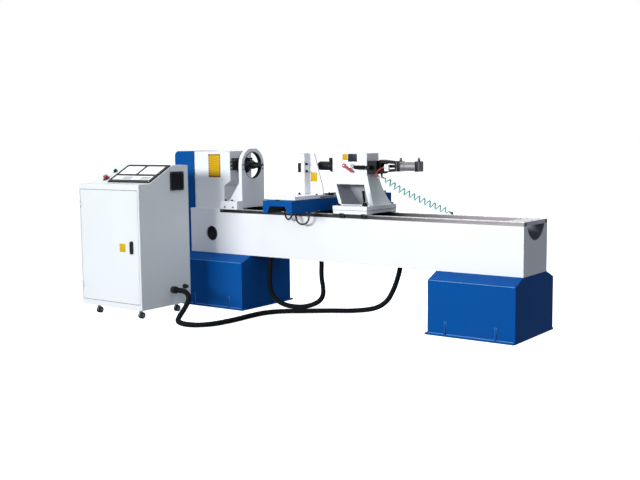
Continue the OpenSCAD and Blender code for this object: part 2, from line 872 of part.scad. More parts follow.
module carriage() {
    color("royalblue")
        difference() {
            union() {
                front_profile(channel_outline(), -carriage_front, carriage_rear);
                block([carriage_mid - nut_len / 2, carriage_mid + nut_len / 2], [-nut_w / 2, nut_w / 2],
                    [screw_z - 30, roof_z + 1]);
                for (y = [-half_bed + web_in, half_bed - web_in - carriage_web])
                    block([carriage_x + leg_foot_w - 1, carriage_x1 - leg_foot_w + 1],
                        [y, y + carriage_web], [carriage_z0 + 8, roof_z + 1]);
            }
            rod_x(x_screw_d + 2 * run, carriage_mid - nut_len, carriage_mid + nut_len, 0, screw_z);
            block([carriage_mid - channel_w / 2, carriage_mid + channel_w / 2],
                [y_screw_front + y_boss, y_screw_rear - y_boss],
                [carriage_top - channel_depth, carriage_top + 1]);
            rod_y(y_screw_d + 2 * run, y_screw_front - 1, y_screw_rear + screw_tail + 1, carriage_mid,
                y_screw_z);
        }
}

// Four shoes that ride on the ways
module guide_shoes() {
    color("dimgray")
        for (x = [carriage_x, carriage_x1 - leg_foot_w], side = [-1, 1])
            scale([1, side, 1])
                block([x, x + leg_foot_w], [half_slot, half_slot + way_w],
                    [way_top + free, carriage_z0]);
}

module cross_rails() {
    color("slategray")
        for (x = [carriage_x + cross_rail_inset, carriage_x1 - cross_rail_inset - cross_rail_w])
            difference() {
                block([x, x + cross_rail_w], [rail_y0, carriage_rear - 60],
                    [carriage_top, cross_top]);
                for (side = [0, 1])
                    block([x + side * cross_rail_w - 3, x + side * cross_rail_w + 3],
                        [-carriage_front, carriage_rear], [carriage_top + 7, carriage_top + 12]);
            }
}

module y_screw() {
    color("silver")
        rod_y(y_screw_d, y_screw_front, y_screw_rear + screw_tail, carriage_mid, y_screw_z);
}

module y_servo() {
    half = y_servo_size / 2;
    color("black")
        difference() {
            union() {
                block([carriage_mid - half, carriage_mid + half], [y_screw_rear, y_screw_rear + 14],
                    [carriage_top, carriage_top + y_servo_size]);
                block([carriage_mid - half + 6, carriage_mid + half - 6],
                    [y_screw_rear + 13, y_screw_rear + 14 + y_servo_len],
                    [carriage_top, carriage_top + y_servo_size - 6]);
            }
            rod_y(y_screw_d + 2 * run, y_screw_rear - 1, y_screw_rear + screw_tail + 2, carriage_mid,
                y_screw_z);
        }
}

// ---- tool slide and post ----

module tool_slide() {
    skirt_in = carriage_w / 2 - cross_rail_inset + free;
    color("white")
        difference() {
            union() {
                block([carriage_x + 2, carriage_x1], [slide_y0, slide_y1], [slide_z, slide_top]);
                for (side = [0, 1])
                    block([side ? carriage_mid + skirt_in : carriage_x + 2,
                            side ? carriage_x1 : carriage_mid - skirt_in],
                        [slide_y0, slide_y0 + skirt_len], [carriage_top + 1, slide_z + 1]);
                block([carriage_x + 2, carriage_x1], [slide_y0, slide_y0 + apron_t],
                    [carriage_top + 1, slide_z + 1]);
                block([carriage_mid - 16, carriage_mid + 16], [slide_y1 - 70, slide_y1 - 20],
                    [carriage_top - channel_depth + 3, slide_z + 1]);
            }
            rod_y(y_screw_d + 2, slide_y0 - 1, slide_y0 + apron_t + 1, carriage_mid, y_screw_z);
            rod_y(y_screw_d + 2 * run, slide_y1 - 71, slide_y1 - 19, carriage_mid, y_screw_z);
        }
}

// The tool post: an upright plate stiffened by a tapered web
module tool_post() {
    color("white") {
        block([post_x, post_x1], [post_y, post_y + post_w], [slide_top, post_top]);
        front_profile([[post_x1 - 1, slide_top], [post_x1 + web_foot_w, slide_top],
                [post_x1 + web_foot_w, slide_top + web_toe], [post_x1 + web_top_w, post_top],
                [post_x1 - 1, post_top]],
            web_y, web_y + web_t);
    }
}

// The holder is bolted to the post's side; the tool that it clamps has a bevelled point
module tool_holder() {
    holder_x = post_x - holder_w;
    holder_y1 = tool_tip_y - 33;
    color("black") {
        block([holder_x, post_x], [post_y + 6, holder_y1], [axis_h - 50, axis_h + 25]);
        translate([holder_x + 8, 0, axis_h - shank - 2])
            linear_extrude(shank)
                polygon([[0, holder_y1 - 1], [shank, holder_y1 - 1], [shank, tool_tip_y - 14],
                    [4, tool_tip_y], [0, tool_tip_y - 6]]);
    }
}

// ---- tailstock ----

module tailstock_sole() {
    half = cross_foot_w / 2 - sole_inset;
    color("gainsboro")
        difference() {
            block([tail_x + sole_inset, tail_x1 - sole_inset], [-half, half],
                [way_top + free, sole_top]);
            // the tongue side of the sole is relieved between the ways
            block([tail_x - 1, tail_x1 + 1], [-half_slot + 20, half_slot - 20],
                [way_top, way_top + 10]);
        }
}

// The rear of the casting flares out to the foot along a hollow curve
function flare(inset) = [
    for (i = [0:flare_steps])
        let (t = i / flare_steps)
            [half_head + (flare_y - half_head) * pow(t, flare_power) - inset,
                flare_top + (tail_foot_top - flare_top) * t]];

module tailstock_body() {
    tail_outline = [[tail_x - 29, tail_foot_top - 1], [tail_head_x, axis_h - 130],
        [tail_head_x, tail_top], [tail_head_x1, tail_top], [tail_head_x1, block_z0],
        [tail_x1 - 27, tail_foot_top - 1]];
    color("white")
        difference() {
            union() {
                block([tail_x, tail_x1], [-cross_foot_w / 2, cross_foot_w / 2],
                    [sole_top, tail_foot_top]);
                intersection() {
                    front_profile(tail_outline, -half_head, flare_y);
                    end_profile(concat([[-half_head, tail_foot_top - 1], [-half_head, tail_top],
                            [half_head, tail_top]], flare(0),
                            [[flare_y, tail_foot_top - 1]]),
                        tail_head_x - 1, tail_x1 + 1);
                }
            }
            // the hollow under the quill, open through the front window
            intersection() {
                front_profile([[tail_x - 5, tail_foot_top + 4], [tail_head_x + 35, window_top],
                        [tail_head_x1 - 28, window_top], [tail_x1 - 67, tail_foot_top + 4]],
                    -half_head - 1, flare_y);
                end_profile(concat([[-half_head - 1, tail_foot_top], [-half_head - 1, window_top + 1],
                        [half_head - tail_wall, window_top + 1]], flare(tail_wall),
                        [[flare_y - tail_wall, tail_foot_top]]),
                    tail_head_x, tail_x1);
            }
            rod_x(quill_d + 2 * run, tail_head_x - 1, tail_head_x1 + 1, 0, axis_h);
        }
}

// The quill, its piston rod and the piston, which move as one
module quill() {
    front = quill_tip + centre_len;
    bore_r = centre_shank_d / 2 + run;
    piston_x = barrel_x + 11;
    piston_t = 20;
    color("black")
        turned_x([[front, bore_r], [front, quill_d / 2 - 3], [front + 3, quill_d / 2],
                [quill_rear, quill_d / 2], [quill_rear, rod_d / 2], [piston_x, rod_d / 2],
                [piston_x, cyl_d / 2 - 6], [piston_x + piston_t, cyl_d / 2 - 6],
                [piston_x + piston_t, 0], [front + shank_len, 0], [front + shank_len, bore_r]],
            axis_h);
}

module live_centre() {
    color("silver")
        turned_x([[quill_tip, 0], [quill_tip + 34, 19], [quill_tip + 34, 27],
                [quill_tip + centre_len - free, 27], [quill_tip + centre_len - free, centre_shank_d / 2],
                [quill_tip + centre_len + shank_len - free, centre_shank_d / 2],
                [quill_tip + centre_len + shank_len - free, 0]], axis_h);
}

// ---- air cylinder ----

module cylinder_bracket() {
    half = cyl_head / 2;
    color("black")
        difference() {
            union() {
                block([tail_head_x1, block_x1], [-half_head + 3, half_head - 22],
                    [block_z0, axis_h + 42]);
                rod_z(socket_d, hose_in[2], block_z0 + 1, hose_in[0], hose_in[1]);
                elbow(hose_in, spiral_route[0]);
                for (side = [-1, 1])
                    front_profile([[block_x1 - 1, axis_h + side * (half - arm_t + arm_flare)],
                            [bracket_x1, axis_h + side * (half - arm_t)],
                            [bracket_x1, axis_h + side * half],
                            [block_x1 - 1, axis_h + side * (half + arm_flare)]], -half, half);
                for (x = [block_x1 - 1, bracket_x1 - collar_t])
                    block([x, x + collar_t], [-half, half], [axis_h - half, axis_h + half]);
            }
            rod_x(quill_d + 2, tail_head_x1 - 1, block_x1 + 1, 0, axis_h);
            rod_x(quill_d - 12, block_x1 - 2, block_x1 + collar_t, 0, axis_h);
            rod_x(rod_d + 2, bracket_x1 - collar_t - 1, bracket_x1 + 1, 0, axis_h);
        }
}

module air_cylinder() {
    half = cyl_head / 2;
    color("silver")
        difference() {
            union() {
                block([bracket_x1, barrel_x], [-half, half], [axis_h - half, axis_h + half]);
                rod_x(cyl_d, barrel_x, cyl_x1, 0, axis_h);
                block([cyl_x1, cyl_x1 + cap_len], [-half, half], [axis_h - half, axis_h + half]);
                for (x = [bracket_x1 + front_head / 2, cyl_x1 + cap_len / 2])
                    rod_z(18, axis_h + half - 1, axis_h + half + 14, x, 0);
                for (y = [-1, 1], z = [-1, 1])
                    rod_x(8, barrel_x - 1, cyl_x1 + 1, y * (half - 7), axis_h + z * (half - 7));
            }
            rod_x(rod_d + 2 * run, bracket_x1 - 1, barrel_x + 1, 0, axis_h);
            rod_x(cyl_d - 11, barrel_x, cyl_x1 - 1, 0, axis_h);
        }
}

module hand_valve() {
    color("lightgray") {
        block([valve_x - 18, valve_x + 74], [-half_head - 20, -half_head], [valve_z - 18, valve_z + 14]);
        rod_y(10, -half_head - 32, -half_head - 19, valve_x, valve_z);
    }
}

module valve_lever() {
    y1 = -half_head - 20 - free;
    color("firebrick")
        difference() {
            translate([valve_x, 0, valve_z])
                rotate([0, lever_fall, 0])
                    union() {
                        rod_y(lever_w + 14, y1 - 8, y1);
                        block([0, lever_len - lever_w / 2], [y1 - 8, y1], [-lever_w / 2, lever_w / 2]);
                        rod_y(lever_w, y1 - 8, y1, lever_len - lever_w / 2, 0);
                    }
            rod_y(10 + 2 * run, y1 - 9, y1 + 1, valve_x, valve_z);
        }
}

// The quill's locking lever: a boss on the bracket's block and a grip that points left
module quill_lock() {
    y_boss_front = -half_head - 52;
    color("black") {
        rod_y(34, y_boss_front, -half_head + 3 - free, lock_x, lock_z);
        rod_x(22, lock_x - 112, lock_x, lock_y, lock_z);
        rod_x(29, lock_x - 128, lock_x - 40, lock_y, lock_z);
    }
}

module clamp_lever() {
    z0 = tail_foot_top + free;
    color("black")
        translate([clamp_x, clamp_y, z0]) {
            cylinder(d = 42, h = 8);
            cylinder(d = 30, h = 26);
            translate([0, 0, 4])
                rotate([10, 0, 0])
                    cylinder(d1 = 16, d2 = 22, h = 114);
        }
}

// ---- cabinet ----

function cabinet_outline(inset) = [
    [cab_y + inset, cab_bottom + inset], [cab_y1 - inset, cab_bottom + inset],
    [cab_y1 - inset, cab_top - inset], [slope_y1 + inset * tan(slope / 2), cab_top - inset],
    [slope_y0 + inset * tan(slope / 2), cab_ledge - inset], [cab_y + inset, cab_ledge - inset]];

// A place on the console's slope: x along it, up it from the ledge, and off its face
module on_slope(x, up, off) {
    translate([x, slope_y0, cab_ledge])
        rotate([slope, 0, 0])
            translate([0, up, off])
                children();
}

// One half of each door hinge: its knuckles and a leaf that lies on the sheet
module hinge_half(z0, z1, leaf_x, bore) {
    y0 = cab_y - hinge_r;
    difference() {
        union() {
            rod_z(2 * hinge_r, z0, z1, hinge_x, y0);
            block([min(hinge_x, leaf_x), max(hinge_x, leaf_x)], [cab_y - 2, cab_y], [z0, z1]);
        }
        if (bore)
            rod_z(hinge_pin_d + 2 * run, z0 - 1, z1 + 1, hinge_x, y0);
    }
}

module cabinet_shell() {
    color("whitesmoke") {
        for (z = hinge_zs) {
            hinge_half(z, z + hinge_h / 4, hinge_x - 14, false);
            hinge_half(z + hinge_h * 3 / 4, z + hinge_h, hinge_x - 14, false);
            rod_z(hinge_pin_d, z, z + hinge_h, hinge_x, cab_y - hinge_r);
        }
        difference() {
            end_profile(cabinet_outline(0), cab_x0, cab_x);
            end_profile(cabinet_outline(sheet_t), cab_x0 + sheet_t, cab_x - sheet_t);
            block([door_x0 - door_gap, door_x1 + door_gap], [cab_y - 1, cab_y + sheet_t + 1],
                [door_z0 - door_gap, door_z1 + door_gap]);
            on_slope(estop_x, estop_up, -sheet_t - 1)
                cylinder(d = 22.4, h = sheet_t + 2);
            on_slope(selector_x, selector_up, -sheet_t - 1)
                cylinder(d = 22.4, h = sheet_t + 2);
            block([cab_x - sheet_t - 1, cab_x + 1], [cab_y1 - 200, cab_y1 - 60],
                [cab_top - 195, cab_top - 55]);
            rod_x(hose_d, cab_x - sheet_t - 1, cab_x + 1, gland_y, gland_z);
        }
    }
}

// The control panel: a black frame with two display windows over a keypad strip
module control_panel() {
    mid = panel_w / 2;
    color("black")
        on_slope(cab_x - panel_edge - panel_w, 12, 0)
            difference() {
                cube([panel_w, panel_h, panel_t]);
                for (x = [0, 1])
                    translate([panel_bar + x * (mid - panel_bar / 2), panel_bar * 2 + key_strip, panel_t - 4])
                        cube([mid - 1.5 * panel_bar, panel_h - 3 * panel_bar - key_strip, 5]);
                translate([panel_bar, panel_bar, panel_t - 4])
                    cube([panel_w - 2 * panel_bar, key_strip, 5]);
            }
}

// The display glasses and the keypad film, each in its own recess
module display() {
    mid = panel_w / 2;
    seat = 0.2;
    color("white")
        on_slope(cab_x - panel_edge - panel_w, 12, panel_t - 4) {
            for (x = [0, 1])
                translate([panel_bar + seat + x * (mid - panel_bar / 2), panel_bar * 2 + key_strip + seat, 0])
                    cube([mid - 1.5 * panel_bar - 2 * seat,
                        panel_h - 3 * panel_bar - key_strip - 2 * seat, 3]);
            translate([panel_bar + seat, panel_bar + seat, 0])
                cube([panel_w - 2 * (panel_bar + seat), key_strip - 2 * seat, 3]);
        }
}

// The louvred outlet on the cabinet's side
module vent_grille() {
    slats = 9;
    size = 150;
    y0 = cab_y1 - 205;
    z0 = cab_top - 200;
    color("black")
        difference() {
            block([cab_x, cab_x + 8], [y0, y0 + size], [z0, z0 + size]);
            for (i = [0:slats - 1])
                translate([cab_x - 1, y0 + 12, z0 + 15 + i * (size - 30) / slats])
                    cube([10, size - 24, (size - 30) / slats - 5]);
        }
}

// The mounting plate with the drives, the power supply and the terminal rail
module electrics_panel() {
    y1 = cab_y1 - sheet_t;
    color("lightsteelblue")
        union() {
            block([cab_x0 + 50, cab_x - 50], [y1 - 24, y1 - 20], [cab_bottom + 100, cab_ledge - 60]);
            for (x = [cab_x0 + 70, cab_x - 70], z = [cab_bottom + 130, cab_ledge - 90])
                rod_y(16, y1 - 21, y1, x, z);
            for (i = [0:2])
                block([cab_x0 + 90 + i * 180, cab_x0 + 220 + i * 180], [y1 - 144, y1 - 23],
                    [cab_ledge - 300, cab_ledge - 100]);
            block([cab_x0 + 90, cab_x0 + 330], [y1 - 124, y1 - 23], [cab_bottom + 380, cab_bottom + 560]);
            for (i = [0:3])
                block([cab_x0 + 380 + i * 60, cab_x0 + 425 + i * 60], [y1 - 104, y1 - 23],
                    [cab_bottom + 400, cab_bottom + 490]);
            block([cab_x0 + 90, cab_x - 90], [y1 - 54, y1 - 23], [cab_bottom + 200, cab_bottom + 260]);
        }
}

// A folded door panel whose edges turn back behind its face
module cabinet_door() {
    color("white") {
        for (z = hinge_zs)
            hinge_half(z + hinge_h / 4 + free, z + hinge_h * 3 / 4 - free, hinge_x + 22, true);
        difference() {
            block([door_x0, door_x1], [cab_y, cab_y + door_t], [door_z0, door_z1]);
            block([door_x0 + sheet_t, door_x1 - sheet_t], [cab_y + sheet_t, cab_y + door_t + 1],
                [door_z0 + sheet_t, door_z1 - sheet_t]);
            rod_y(20, cab_y - 1, cab_y + sheet_t + 1, handle_x, handle_z - handle_drop);
        }
    }
}

// A turn handle: a rosette in the door, and a grip that hangs from it
module door_handle() {
    color("black") {
        rod_y(20 - 2 * run, cab_y - free - 1, cab_y + door_t, handle_x, handle_z - handle_drop);
        difference() {
            union() {
                block([handle_x - handle_w / 2, handle_x + handle_w / 2], [handle_y, cab_y - free],
                    [handle_z - handle_half, handle_z + handle_half]);
                for (z = [-handle_half, handle_half])
                    rod_y(handle_w, handle_y, cab_y - free, handle_x, handle_z + z);
            }
            block([handle_x - handle_slot, handle_x + handle_slot], [handle_y - 1, handle_y + 6],
                [handle_z - handle_half + 6, handle_z + handle_half - 6]);
        }
    }
}

module emergency_stop() {
    color("red")
        on_slope(estop_x, estop_up, 0) {
            translate([0, 0, 14])
                cylinder(d = 40, h = 16);
            translate([0, 0, -25])
                cylinder(d = 22, h = 40);
        }
}

module selector_switch() {
    color("black")
        on_slope(selector_x, selector_up, 0) {
            translate([0, 0, free])
                cylinder(d = 30, h = 10);
            translate([-5, -15, 9])
                cube([10, 30, 12]);
            translate([0, 0, -25])
                cylinder(d = 22, h = 26);
        }
}

// Each caster's swivel axis, by its number
function caster_place(i) = [caster_xs[i % 2], caster_ys[floor(i / 2)]];

// A caster's fork: a swivel plate, a neck between the twin wheels and the axle
module caster_fork(i) {
    color("dimgray")
        translate([caster_place(i)[0], caster_place(i)[1], 0]) {
            rod_z(46, cab_bottom - free - plate_t, cab_bottom - free);
            rod_z(20, wheel_r * 2 + 3, cab_bottom - free - plate_t + 1);
            block([-fork_gap / 2, fork_gap / 2], [-10, trail + 8], [wheel_r, wheel_r * 2 + 10]);
            rod_x(8, -wheel_out - 2, wheel_out + 2, trail, wheel_r);
        }
}

// A pair of wheels joined by nothing but the axle they turn on
module caster_wheel(i) {
    color("black")
        translate([caster_place(i)[0], caster_place(i)[1] + trail, wheel_r])
            for (side = [-1, 1])
                difference() {
                    rod_x(2 * wheel_r, side > 0 ? wheel_out - wheel_t : -wheel_out,
                        side > 0 ? wheel_out : wheel_t - wheel_out);
                    rod_x(8 + 2 * run, -40, 40);
                }
}

module caster_fork_1() { caster_fork(0); }
module caster_fork_2() { caster_fork(1); }
module caster_fork_3() { caster_fork(2); }
module caster_fork_4() { caster_fork(3); }
module caster_wheel_1() { caster_wheel(0); }
module caster_wheel_2() { caster_wheel(1); }
module caster_wheel_3() { caster_wheel(2); }
module caster_wheel_4() { caster_wheel(3); }

// ---- hoses and cables ----

// Screwed hose glands on the cabinet's side and under the bed, and the air socket
module hose_glands() {
    color("black") {
        rod_x(hose_d + 14, cab_x, cabinet_route[0][0], gland_y, gland_z);
        rod_x(36, cab_x, cab_x + 22, supply_y, supply_z);
        rod_x(26, cab_x + 21, cab_x + 42, supply_y, supply_z);
        for (end = hose_ends)
            rod_z(hose_d + 14, end[2], bed_z0, end[0], end[1]);
        block([hose_out[0] - 20, hose_out[0] + 20], [half_bed, hose_out[1] + 20],
            [bed_top - 40, bed_top - 5]);
        rod_z(socket_d, bed_top - 6, hose_out[2], hose_out[0], hose_out[1]);
        elbow(hose_out, spiral_route[5]);
    }
}

module hose_to_cabinet() {
    color("dimgray")
        tube(cabinet_route, hose_d, 2, 12, hose_ref);
}

module hose_loop() {
    color("dimgray")
        tube(loop_route, hose_d, 1, 12, [0, 1, 0]);
}

module spiral_hose() {
    color("mediumaquamarine")
        tube(spiral_route, spiral_d, 1, 12, [0, 0, 1]);
}

module carriage_cables() {
    color("dimgray") {
        tube(front_cable, cable_d, 1, 8, [0, 1, 0]);
        tube(rear_cable, cable_d, 1, 8, [0, 1, 0]);
    }
}

bed();
base_headstock_end();
base_tailstock_end();
headstock_seat();
guide_ways();
bed_end_plate();
headstock();
belt_guard();
spindle_motor();
drive_belt();
spindle_bearings();
bearing_keeper();
ring_rest();
ring_bush();
x_servo();
screw_supports();
hose_glands();
cabinet_shell();
control_panel();
display();
vent_grille();
electrics_panel();
hose_to_cabinet();
hose_loop();
spindle();
spindle_pulley();
motor_pulley();
x_screw();
carriage();
guide_shoes();
cross_rails();
y_servo();
carriage_cables();
y_screw();
tool_slide();
tool_post();
tool_holder();
tailstock_sole();
tailstock_body();
cylinder_bracket();
air_cylinder();
hand_valve();
spiral_hose();
quill();
live_centre();
valve_lever();
quill_lock();
clamp_lever();
cabinet_door();
door_handle();
emergency_stop();
selector_switch();
caster_fork_1();
caster_fork_2();
caster_fork_3();
caster_fork_4();
caster_wheel_1();
caster_wheel_2();
caster_wheel_3();
caster_wheel_4();
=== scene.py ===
from itertools import product
from math import atan2, ceil, cos, pi, radians, sin

import bmesh
import bpy
from mathutils import Matrix, Vector


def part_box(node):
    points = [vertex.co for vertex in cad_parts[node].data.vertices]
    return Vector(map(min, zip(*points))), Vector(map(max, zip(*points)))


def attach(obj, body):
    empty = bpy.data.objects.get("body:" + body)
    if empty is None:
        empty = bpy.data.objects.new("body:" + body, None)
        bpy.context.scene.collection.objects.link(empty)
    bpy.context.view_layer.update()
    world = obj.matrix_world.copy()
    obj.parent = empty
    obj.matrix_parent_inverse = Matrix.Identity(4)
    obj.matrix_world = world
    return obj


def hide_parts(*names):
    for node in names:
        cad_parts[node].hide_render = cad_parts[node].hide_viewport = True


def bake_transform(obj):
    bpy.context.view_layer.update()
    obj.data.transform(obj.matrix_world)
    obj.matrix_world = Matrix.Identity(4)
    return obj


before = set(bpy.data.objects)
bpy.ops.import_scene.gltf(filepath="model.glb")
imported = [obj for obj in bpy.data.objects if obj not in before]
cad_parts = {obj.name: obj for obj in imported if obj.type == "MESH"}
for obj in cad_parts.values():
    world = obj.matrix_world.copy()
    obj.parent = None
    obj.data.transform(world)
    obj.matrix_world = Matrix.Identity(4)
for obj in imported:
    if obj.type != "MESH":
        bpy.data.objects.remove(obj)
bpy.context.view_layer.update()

# ---- Camera ----
# It stands off the tailstock end, in front of the bed and a little above the spindle,
# and looks back along the machine.


def placed(name, data):
    """Puts data in the scene as an object."""
    made = bpy.data.objects.new(name, data)
    bpy.context.scene.collection.objects.link(made)
    return made


camera = placed("camera", bpy.data.cameras.new("camera"))
bpy.context.scene.camera = camera
camera_place = Vector((5.38865, -6.16162, 1.3853))
turn_left, look_down, lean = 0.6292, 0.1043, -0.0102
camera.data.sensor_width = 36
camera.data.lens = 53.03
camera.matrix_world = (
    Matrix.Translation(camera_place)
    @ Matrix.Rotation(turn_left, 4, "Z")
    @ Matrix.Rotation(pi / 2 - look_down, 4, "X")
    @ Matrix.Rotation(lean, 4, "Z")
)

# ---- Corrugated hoses ----
# Two black polypropylene conduits carry the machine's cables: one from the cabinet's side
# across the floor and up into the bed, and one in a loop under the bed. Each is a row of
# square ribs, and it is screwed into its glands at both ends.
hose_d = 0.042
rib_pitch = 0.0085
rib_valley = 0.87
cabinet_route = [
    (0.026, -0.768, 0.205), (0.066, -0.768, 0.205), (0.120, -0.768, 0.200), (0.163, -0.776, 0.176),
    (0.187, -0.800, 0.140), (0.196, -0.835, 0.104), (0.208, -0.888, 0.066), (0.237, -0.958, 0.035),
    (0.290, -1.024, 0.023), (0.360, -1.072, 0.023), (0.445, -1.094, 0.023), (0.530, -1.068, 0.023),
    (0.588, -0.998, 0.023), (0.617, -0.900, 0.023), (0.630, -0.740, 0.023), (0.626, -0.560, 0.023),
    (0.640, -0.400, 0.023), (0.715, -0.270, 0.023), (0.850, -0.165, 0.023), (1.020, -0.040, 0.023),
    (1.200, 0.062, 0.026), (1.370, 0.100, 0.058), (1.480, 0.100, 0.127), (1.545, 0.100, 0.230),
    (1.585, 0.100, 0.335), (1.600, 0.100, 0.395), (1.600, 0.100, 0.425),
]
loop_route = [
    (0.416, -0.040, 0.425), (0.416, -0.040, 0.385), (0.409, -0.040, 0.290), (0.406, -0.040, 0.190),
    (0.431, -0.040, 0.110), (0.490, -0.040, 0.055), (0.570, -0.040, 0.029), (0.650, -0.040, 0.023),
    (0.730, -0.040, 0.026), (0.805, -0.040, 0.042), (0.872, -0.040, 0.066), (0.926, -0.040, 0.099),
    (0.957, -0.040, 0.147), (0.959, -0.040, 0.207), (0.948, -0.040, 0.270), (0.944, -0.040, 0.330),
    (0.946, -0.040, 0.385), (0.946, -0.040, 0.425),
]


class Wire:
    """A value in a material. Sums and products of wires add the nodes that work them out."""

    def __init__(self, tree, socket=None):
        self.tree = tree
        self.socket = socket

    def node(self, kind, settings=None, values=None, out=0):
        """Adds a node: its settings are set first, then the values or wires of its sockets."""
        made = self.tree.nodes.new("ShaderNode" + kind)
        for key, value in (settings or {}).items():
            if key == "stops":
                for stop, (at, colour) in zip(made.color_ramp.elements, value):
                    stop.position, stop.color = at, colour
            else:
                setattr(made, key, value)
        for key, value in (values or {}).items():
            if isinstance(value, Wire):
                self.tree.links.new(value.socket, made.inputs[key])
            else:
                made.inputs[key].default_value = value
        return Wire(self.tree, made.outputs[out])

    def math(self, operation, first, second):
        return self.node("Math", {"operation": operation}, {0: first, 1: second})

    def __add__(self, other):
        return self.math("ADD", self, other)

    __radd__ = __add__

    def __mul__(self, other):
        return self.math("MULTIPLY", self, other)

    __rmul__ = __mul__

    def __sub__(self, other):
        return self.math("SUBTRACT", self, other)

    def __rsub__(self, other):
        return self.math("SUBTRACT", other, self)

    def under(self, other):
        return self.math("LESS_THAN", self, other)

    def axis(self, name):
        """One coordinate of a place or a direction."""
        return self.node("SeparateXYZ", None, {0: self}, name)

    def clamp(self, low, high):
        """Spreads the part of a wire between two values over 0 to 1."""
        return self.node("MapRange", {"interpolation_type": "SMOOTHSTEP"},
                         {"Value": self, "From Min": low, "From Max": high})

    def mix(self, first, second):
        """A colour between two, by this wire from 0 to 1."""
        return self.node("Mix", {"data_type": "RGBA"}, {0: self, 6: first, 7: second}, 2)

    def noise(self, scale, detail=3.0):
        return self.node("TexNoise", None, {"Vector": self, "Scale": scale, "Detail": detail})

    def stretch(self, x, y, z):
        return self.node("Mapping", None, {"Vector": self, "Scale": (x, y, z)})

    def bump(self, distance, strength=1.0, normal=None):
        """Raises a surface by this wire's height, on top of another normal."""
        values = {"Height": self, "Distance": distance, "Strength": strength}
        if normal:
            values["Normal"] = normal
        return self.node("Bump", None, values)

    def soft_edges(self, radius):
        """Normals that turn smoothly round an edge, as a ground or painted edge has."""
        return self.node("Bevel", {"samples": 4}, {"Radius": radius})

    def edge_mask(self, radius):
        """How much a place lies on an edge: 0 on a flat, up to 1 at a corner."""
        turned = self.soft_edges(radius)
        true = self.node("NewGeometry", out="True Normal")
        level = self.node("VectorMath", {"operation": "DOT_PRODUCT"}, {0: turned, 1: true}, "Value")
        return (1 - level).clamp(0.02, 0.25)


def toned(colour, share, lift=0.0):
    """A colour times a share, lifted a little towards white."""
    return tuple(share * c + lift for c in colour[:3]) + (1,)


def material(name, finish, steady=None):
    """Makes a material. finish gives what varies over the surface; steady holds plain numbers."""
    made = bpy.data.materials.new(name)
    made.use_nodes = True
    tree = made.node_tree
    shader = tree.nodes["Principled BSDF"]
    place = Wire(tree).node("TexCoord", out="Object")
    for socket, value in {**(steady or {}), **finish(place)}.items():
        if isinstance(value, Wire):
            tree.links.new(value.socket, shader.inputs[socket])
        else:
            shader.inputs[socket].default_value = value
    return made


def dull_plastic(name, colour, roughness, grain=900.0, gloss=0.16):
    """Moulded plastic or rubber: a fine spark texture, a little dust, and soft edges."""
    def finish(place):
        dust = place.noise(9.0, 4.0).clamp(0.45, 0.75)
        return {
            "Base Color": (dust * 0.35).mix(colour, toned(colour, 0.90, 0.006)),
            "Roughness": roughness + 0.12 * place.noise(40.0),
            "Normal": place.noise(grain).bump(0.0002, 0.35, place.soft_edges(0.0008)),
        }
    return material(name, finish, {"Specular IOR Level": gloss})


def between(p0, p1, p2, p3, t):
    """A point on the smooth curve through p1 and p2."""
    return 0.5 * (2 * p1 + (p2 - p0) * t + (2 * p0 - 5 * p1 + 4 * p2 - p3) * t * t
                  + (3 * p1 - p0 - 3 * p2 + p3) * t ** 3)


def even_line(route, step):
    """Points at an even distance along the smooth curve through a route."""
    p = [Vector(r) for r in route]
    fine = [between(p[max(i - 1, 0)], p[i], p[i + 1], p[min(i + 2, len(p) - 1)], k / 24)
            for i in range(len(p) - 1) for k in range(24)] + [p[-1]]
    reach = [0.0]
    for a, b in zip(fine, fine[1:]):
        reach.append(reach[-1] + (b - a).length)
    count = ceil(reach[-1] / step)
    line, i = [], 0
    for k in range(count + 1):
        s = reach[-1] * k / count
        while i < len(fine) - 2 and reach[i + 1] < s:
            i += 1
        line.append(fine[i].lerp(fine[i + 1], (s - reach[i]) / (reach[i + 1] - reach[i])))
    return line, reach[-1]


def tube(name, line, diameter, finish, swell=None, sides=3):
    """A round tube along a line, as a curve of one spline. swell scales it point by point."""
    curve = bpy.data.curves.new(name, "CURVE")
    curve.dimensions = "3D"
    curve.bevel_depth = diameter / 2
    curve.bevel_resolution = sides
    curve.use_fill_caps = True
    spline = curve.splines.new("POLY")
    spline.points.add(len(line) - 1)
    for i, place in enumerate(line):
        spline.points[i].co = (*place, 1)
        spline.points[i].radius = swell[i % len(swell)] if swell else 1
    spline.use_smooth = True
    curve.materials.append(finish)
    return placed(name, curve)


conduit_black = dull_plastic("conduit_black", (0.006, 0.008, 0.010, 1), 0.50, gloss=0.05)
for name, route, node in (
    ("cabinet_conduit", cabinet_route, "hose_to_cabinet"),
    ("bed_conduit", loop_route, "hose_loop"),
):
    line, length = even_line(route, rib_pitch / 4)
    conduit = tube(name, line, hose_d, conduit_black, (1, 1, rib_valley, rib_valley))
    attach(conduit, "root")
    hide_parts(node)

# ---- Spiral air hose ----
# A teal polyurethane recoil hose feeds the tailstock's cylinder. Its coil hangs in a shallow
# sag from the elbow under the cylinder bracket to the socket behind the bed.
coil_d = 0.056
air_d = 0.0125
coil_pitch = 0.0435
coil_points = 24
spiral_route = [
    (1.498, 0.020, 1.100), (1.590, 0.056, 1.030), (1.690, 0.100, 0.970),
    (1.790, 0.146, 0.918), (1.885, 0.190, 0.873), (1.968, 0.234, 0.834),
]


def teal_finish(place):
    """Clear-tinted polyurethane: glossy, with faint streaks along the tube."""
    streak = place.noise(60.0, 2.0)
    return {
        "Base Color": streak.mix((0.16, 0.44, 0.42, 1), (0.30, 0.62, 0.60, 1)),
        "Roughness": 0.16 + 0.12 * streak,
        "Normal": place.noise(500.0).bump(0.0001, 0.2),
    }


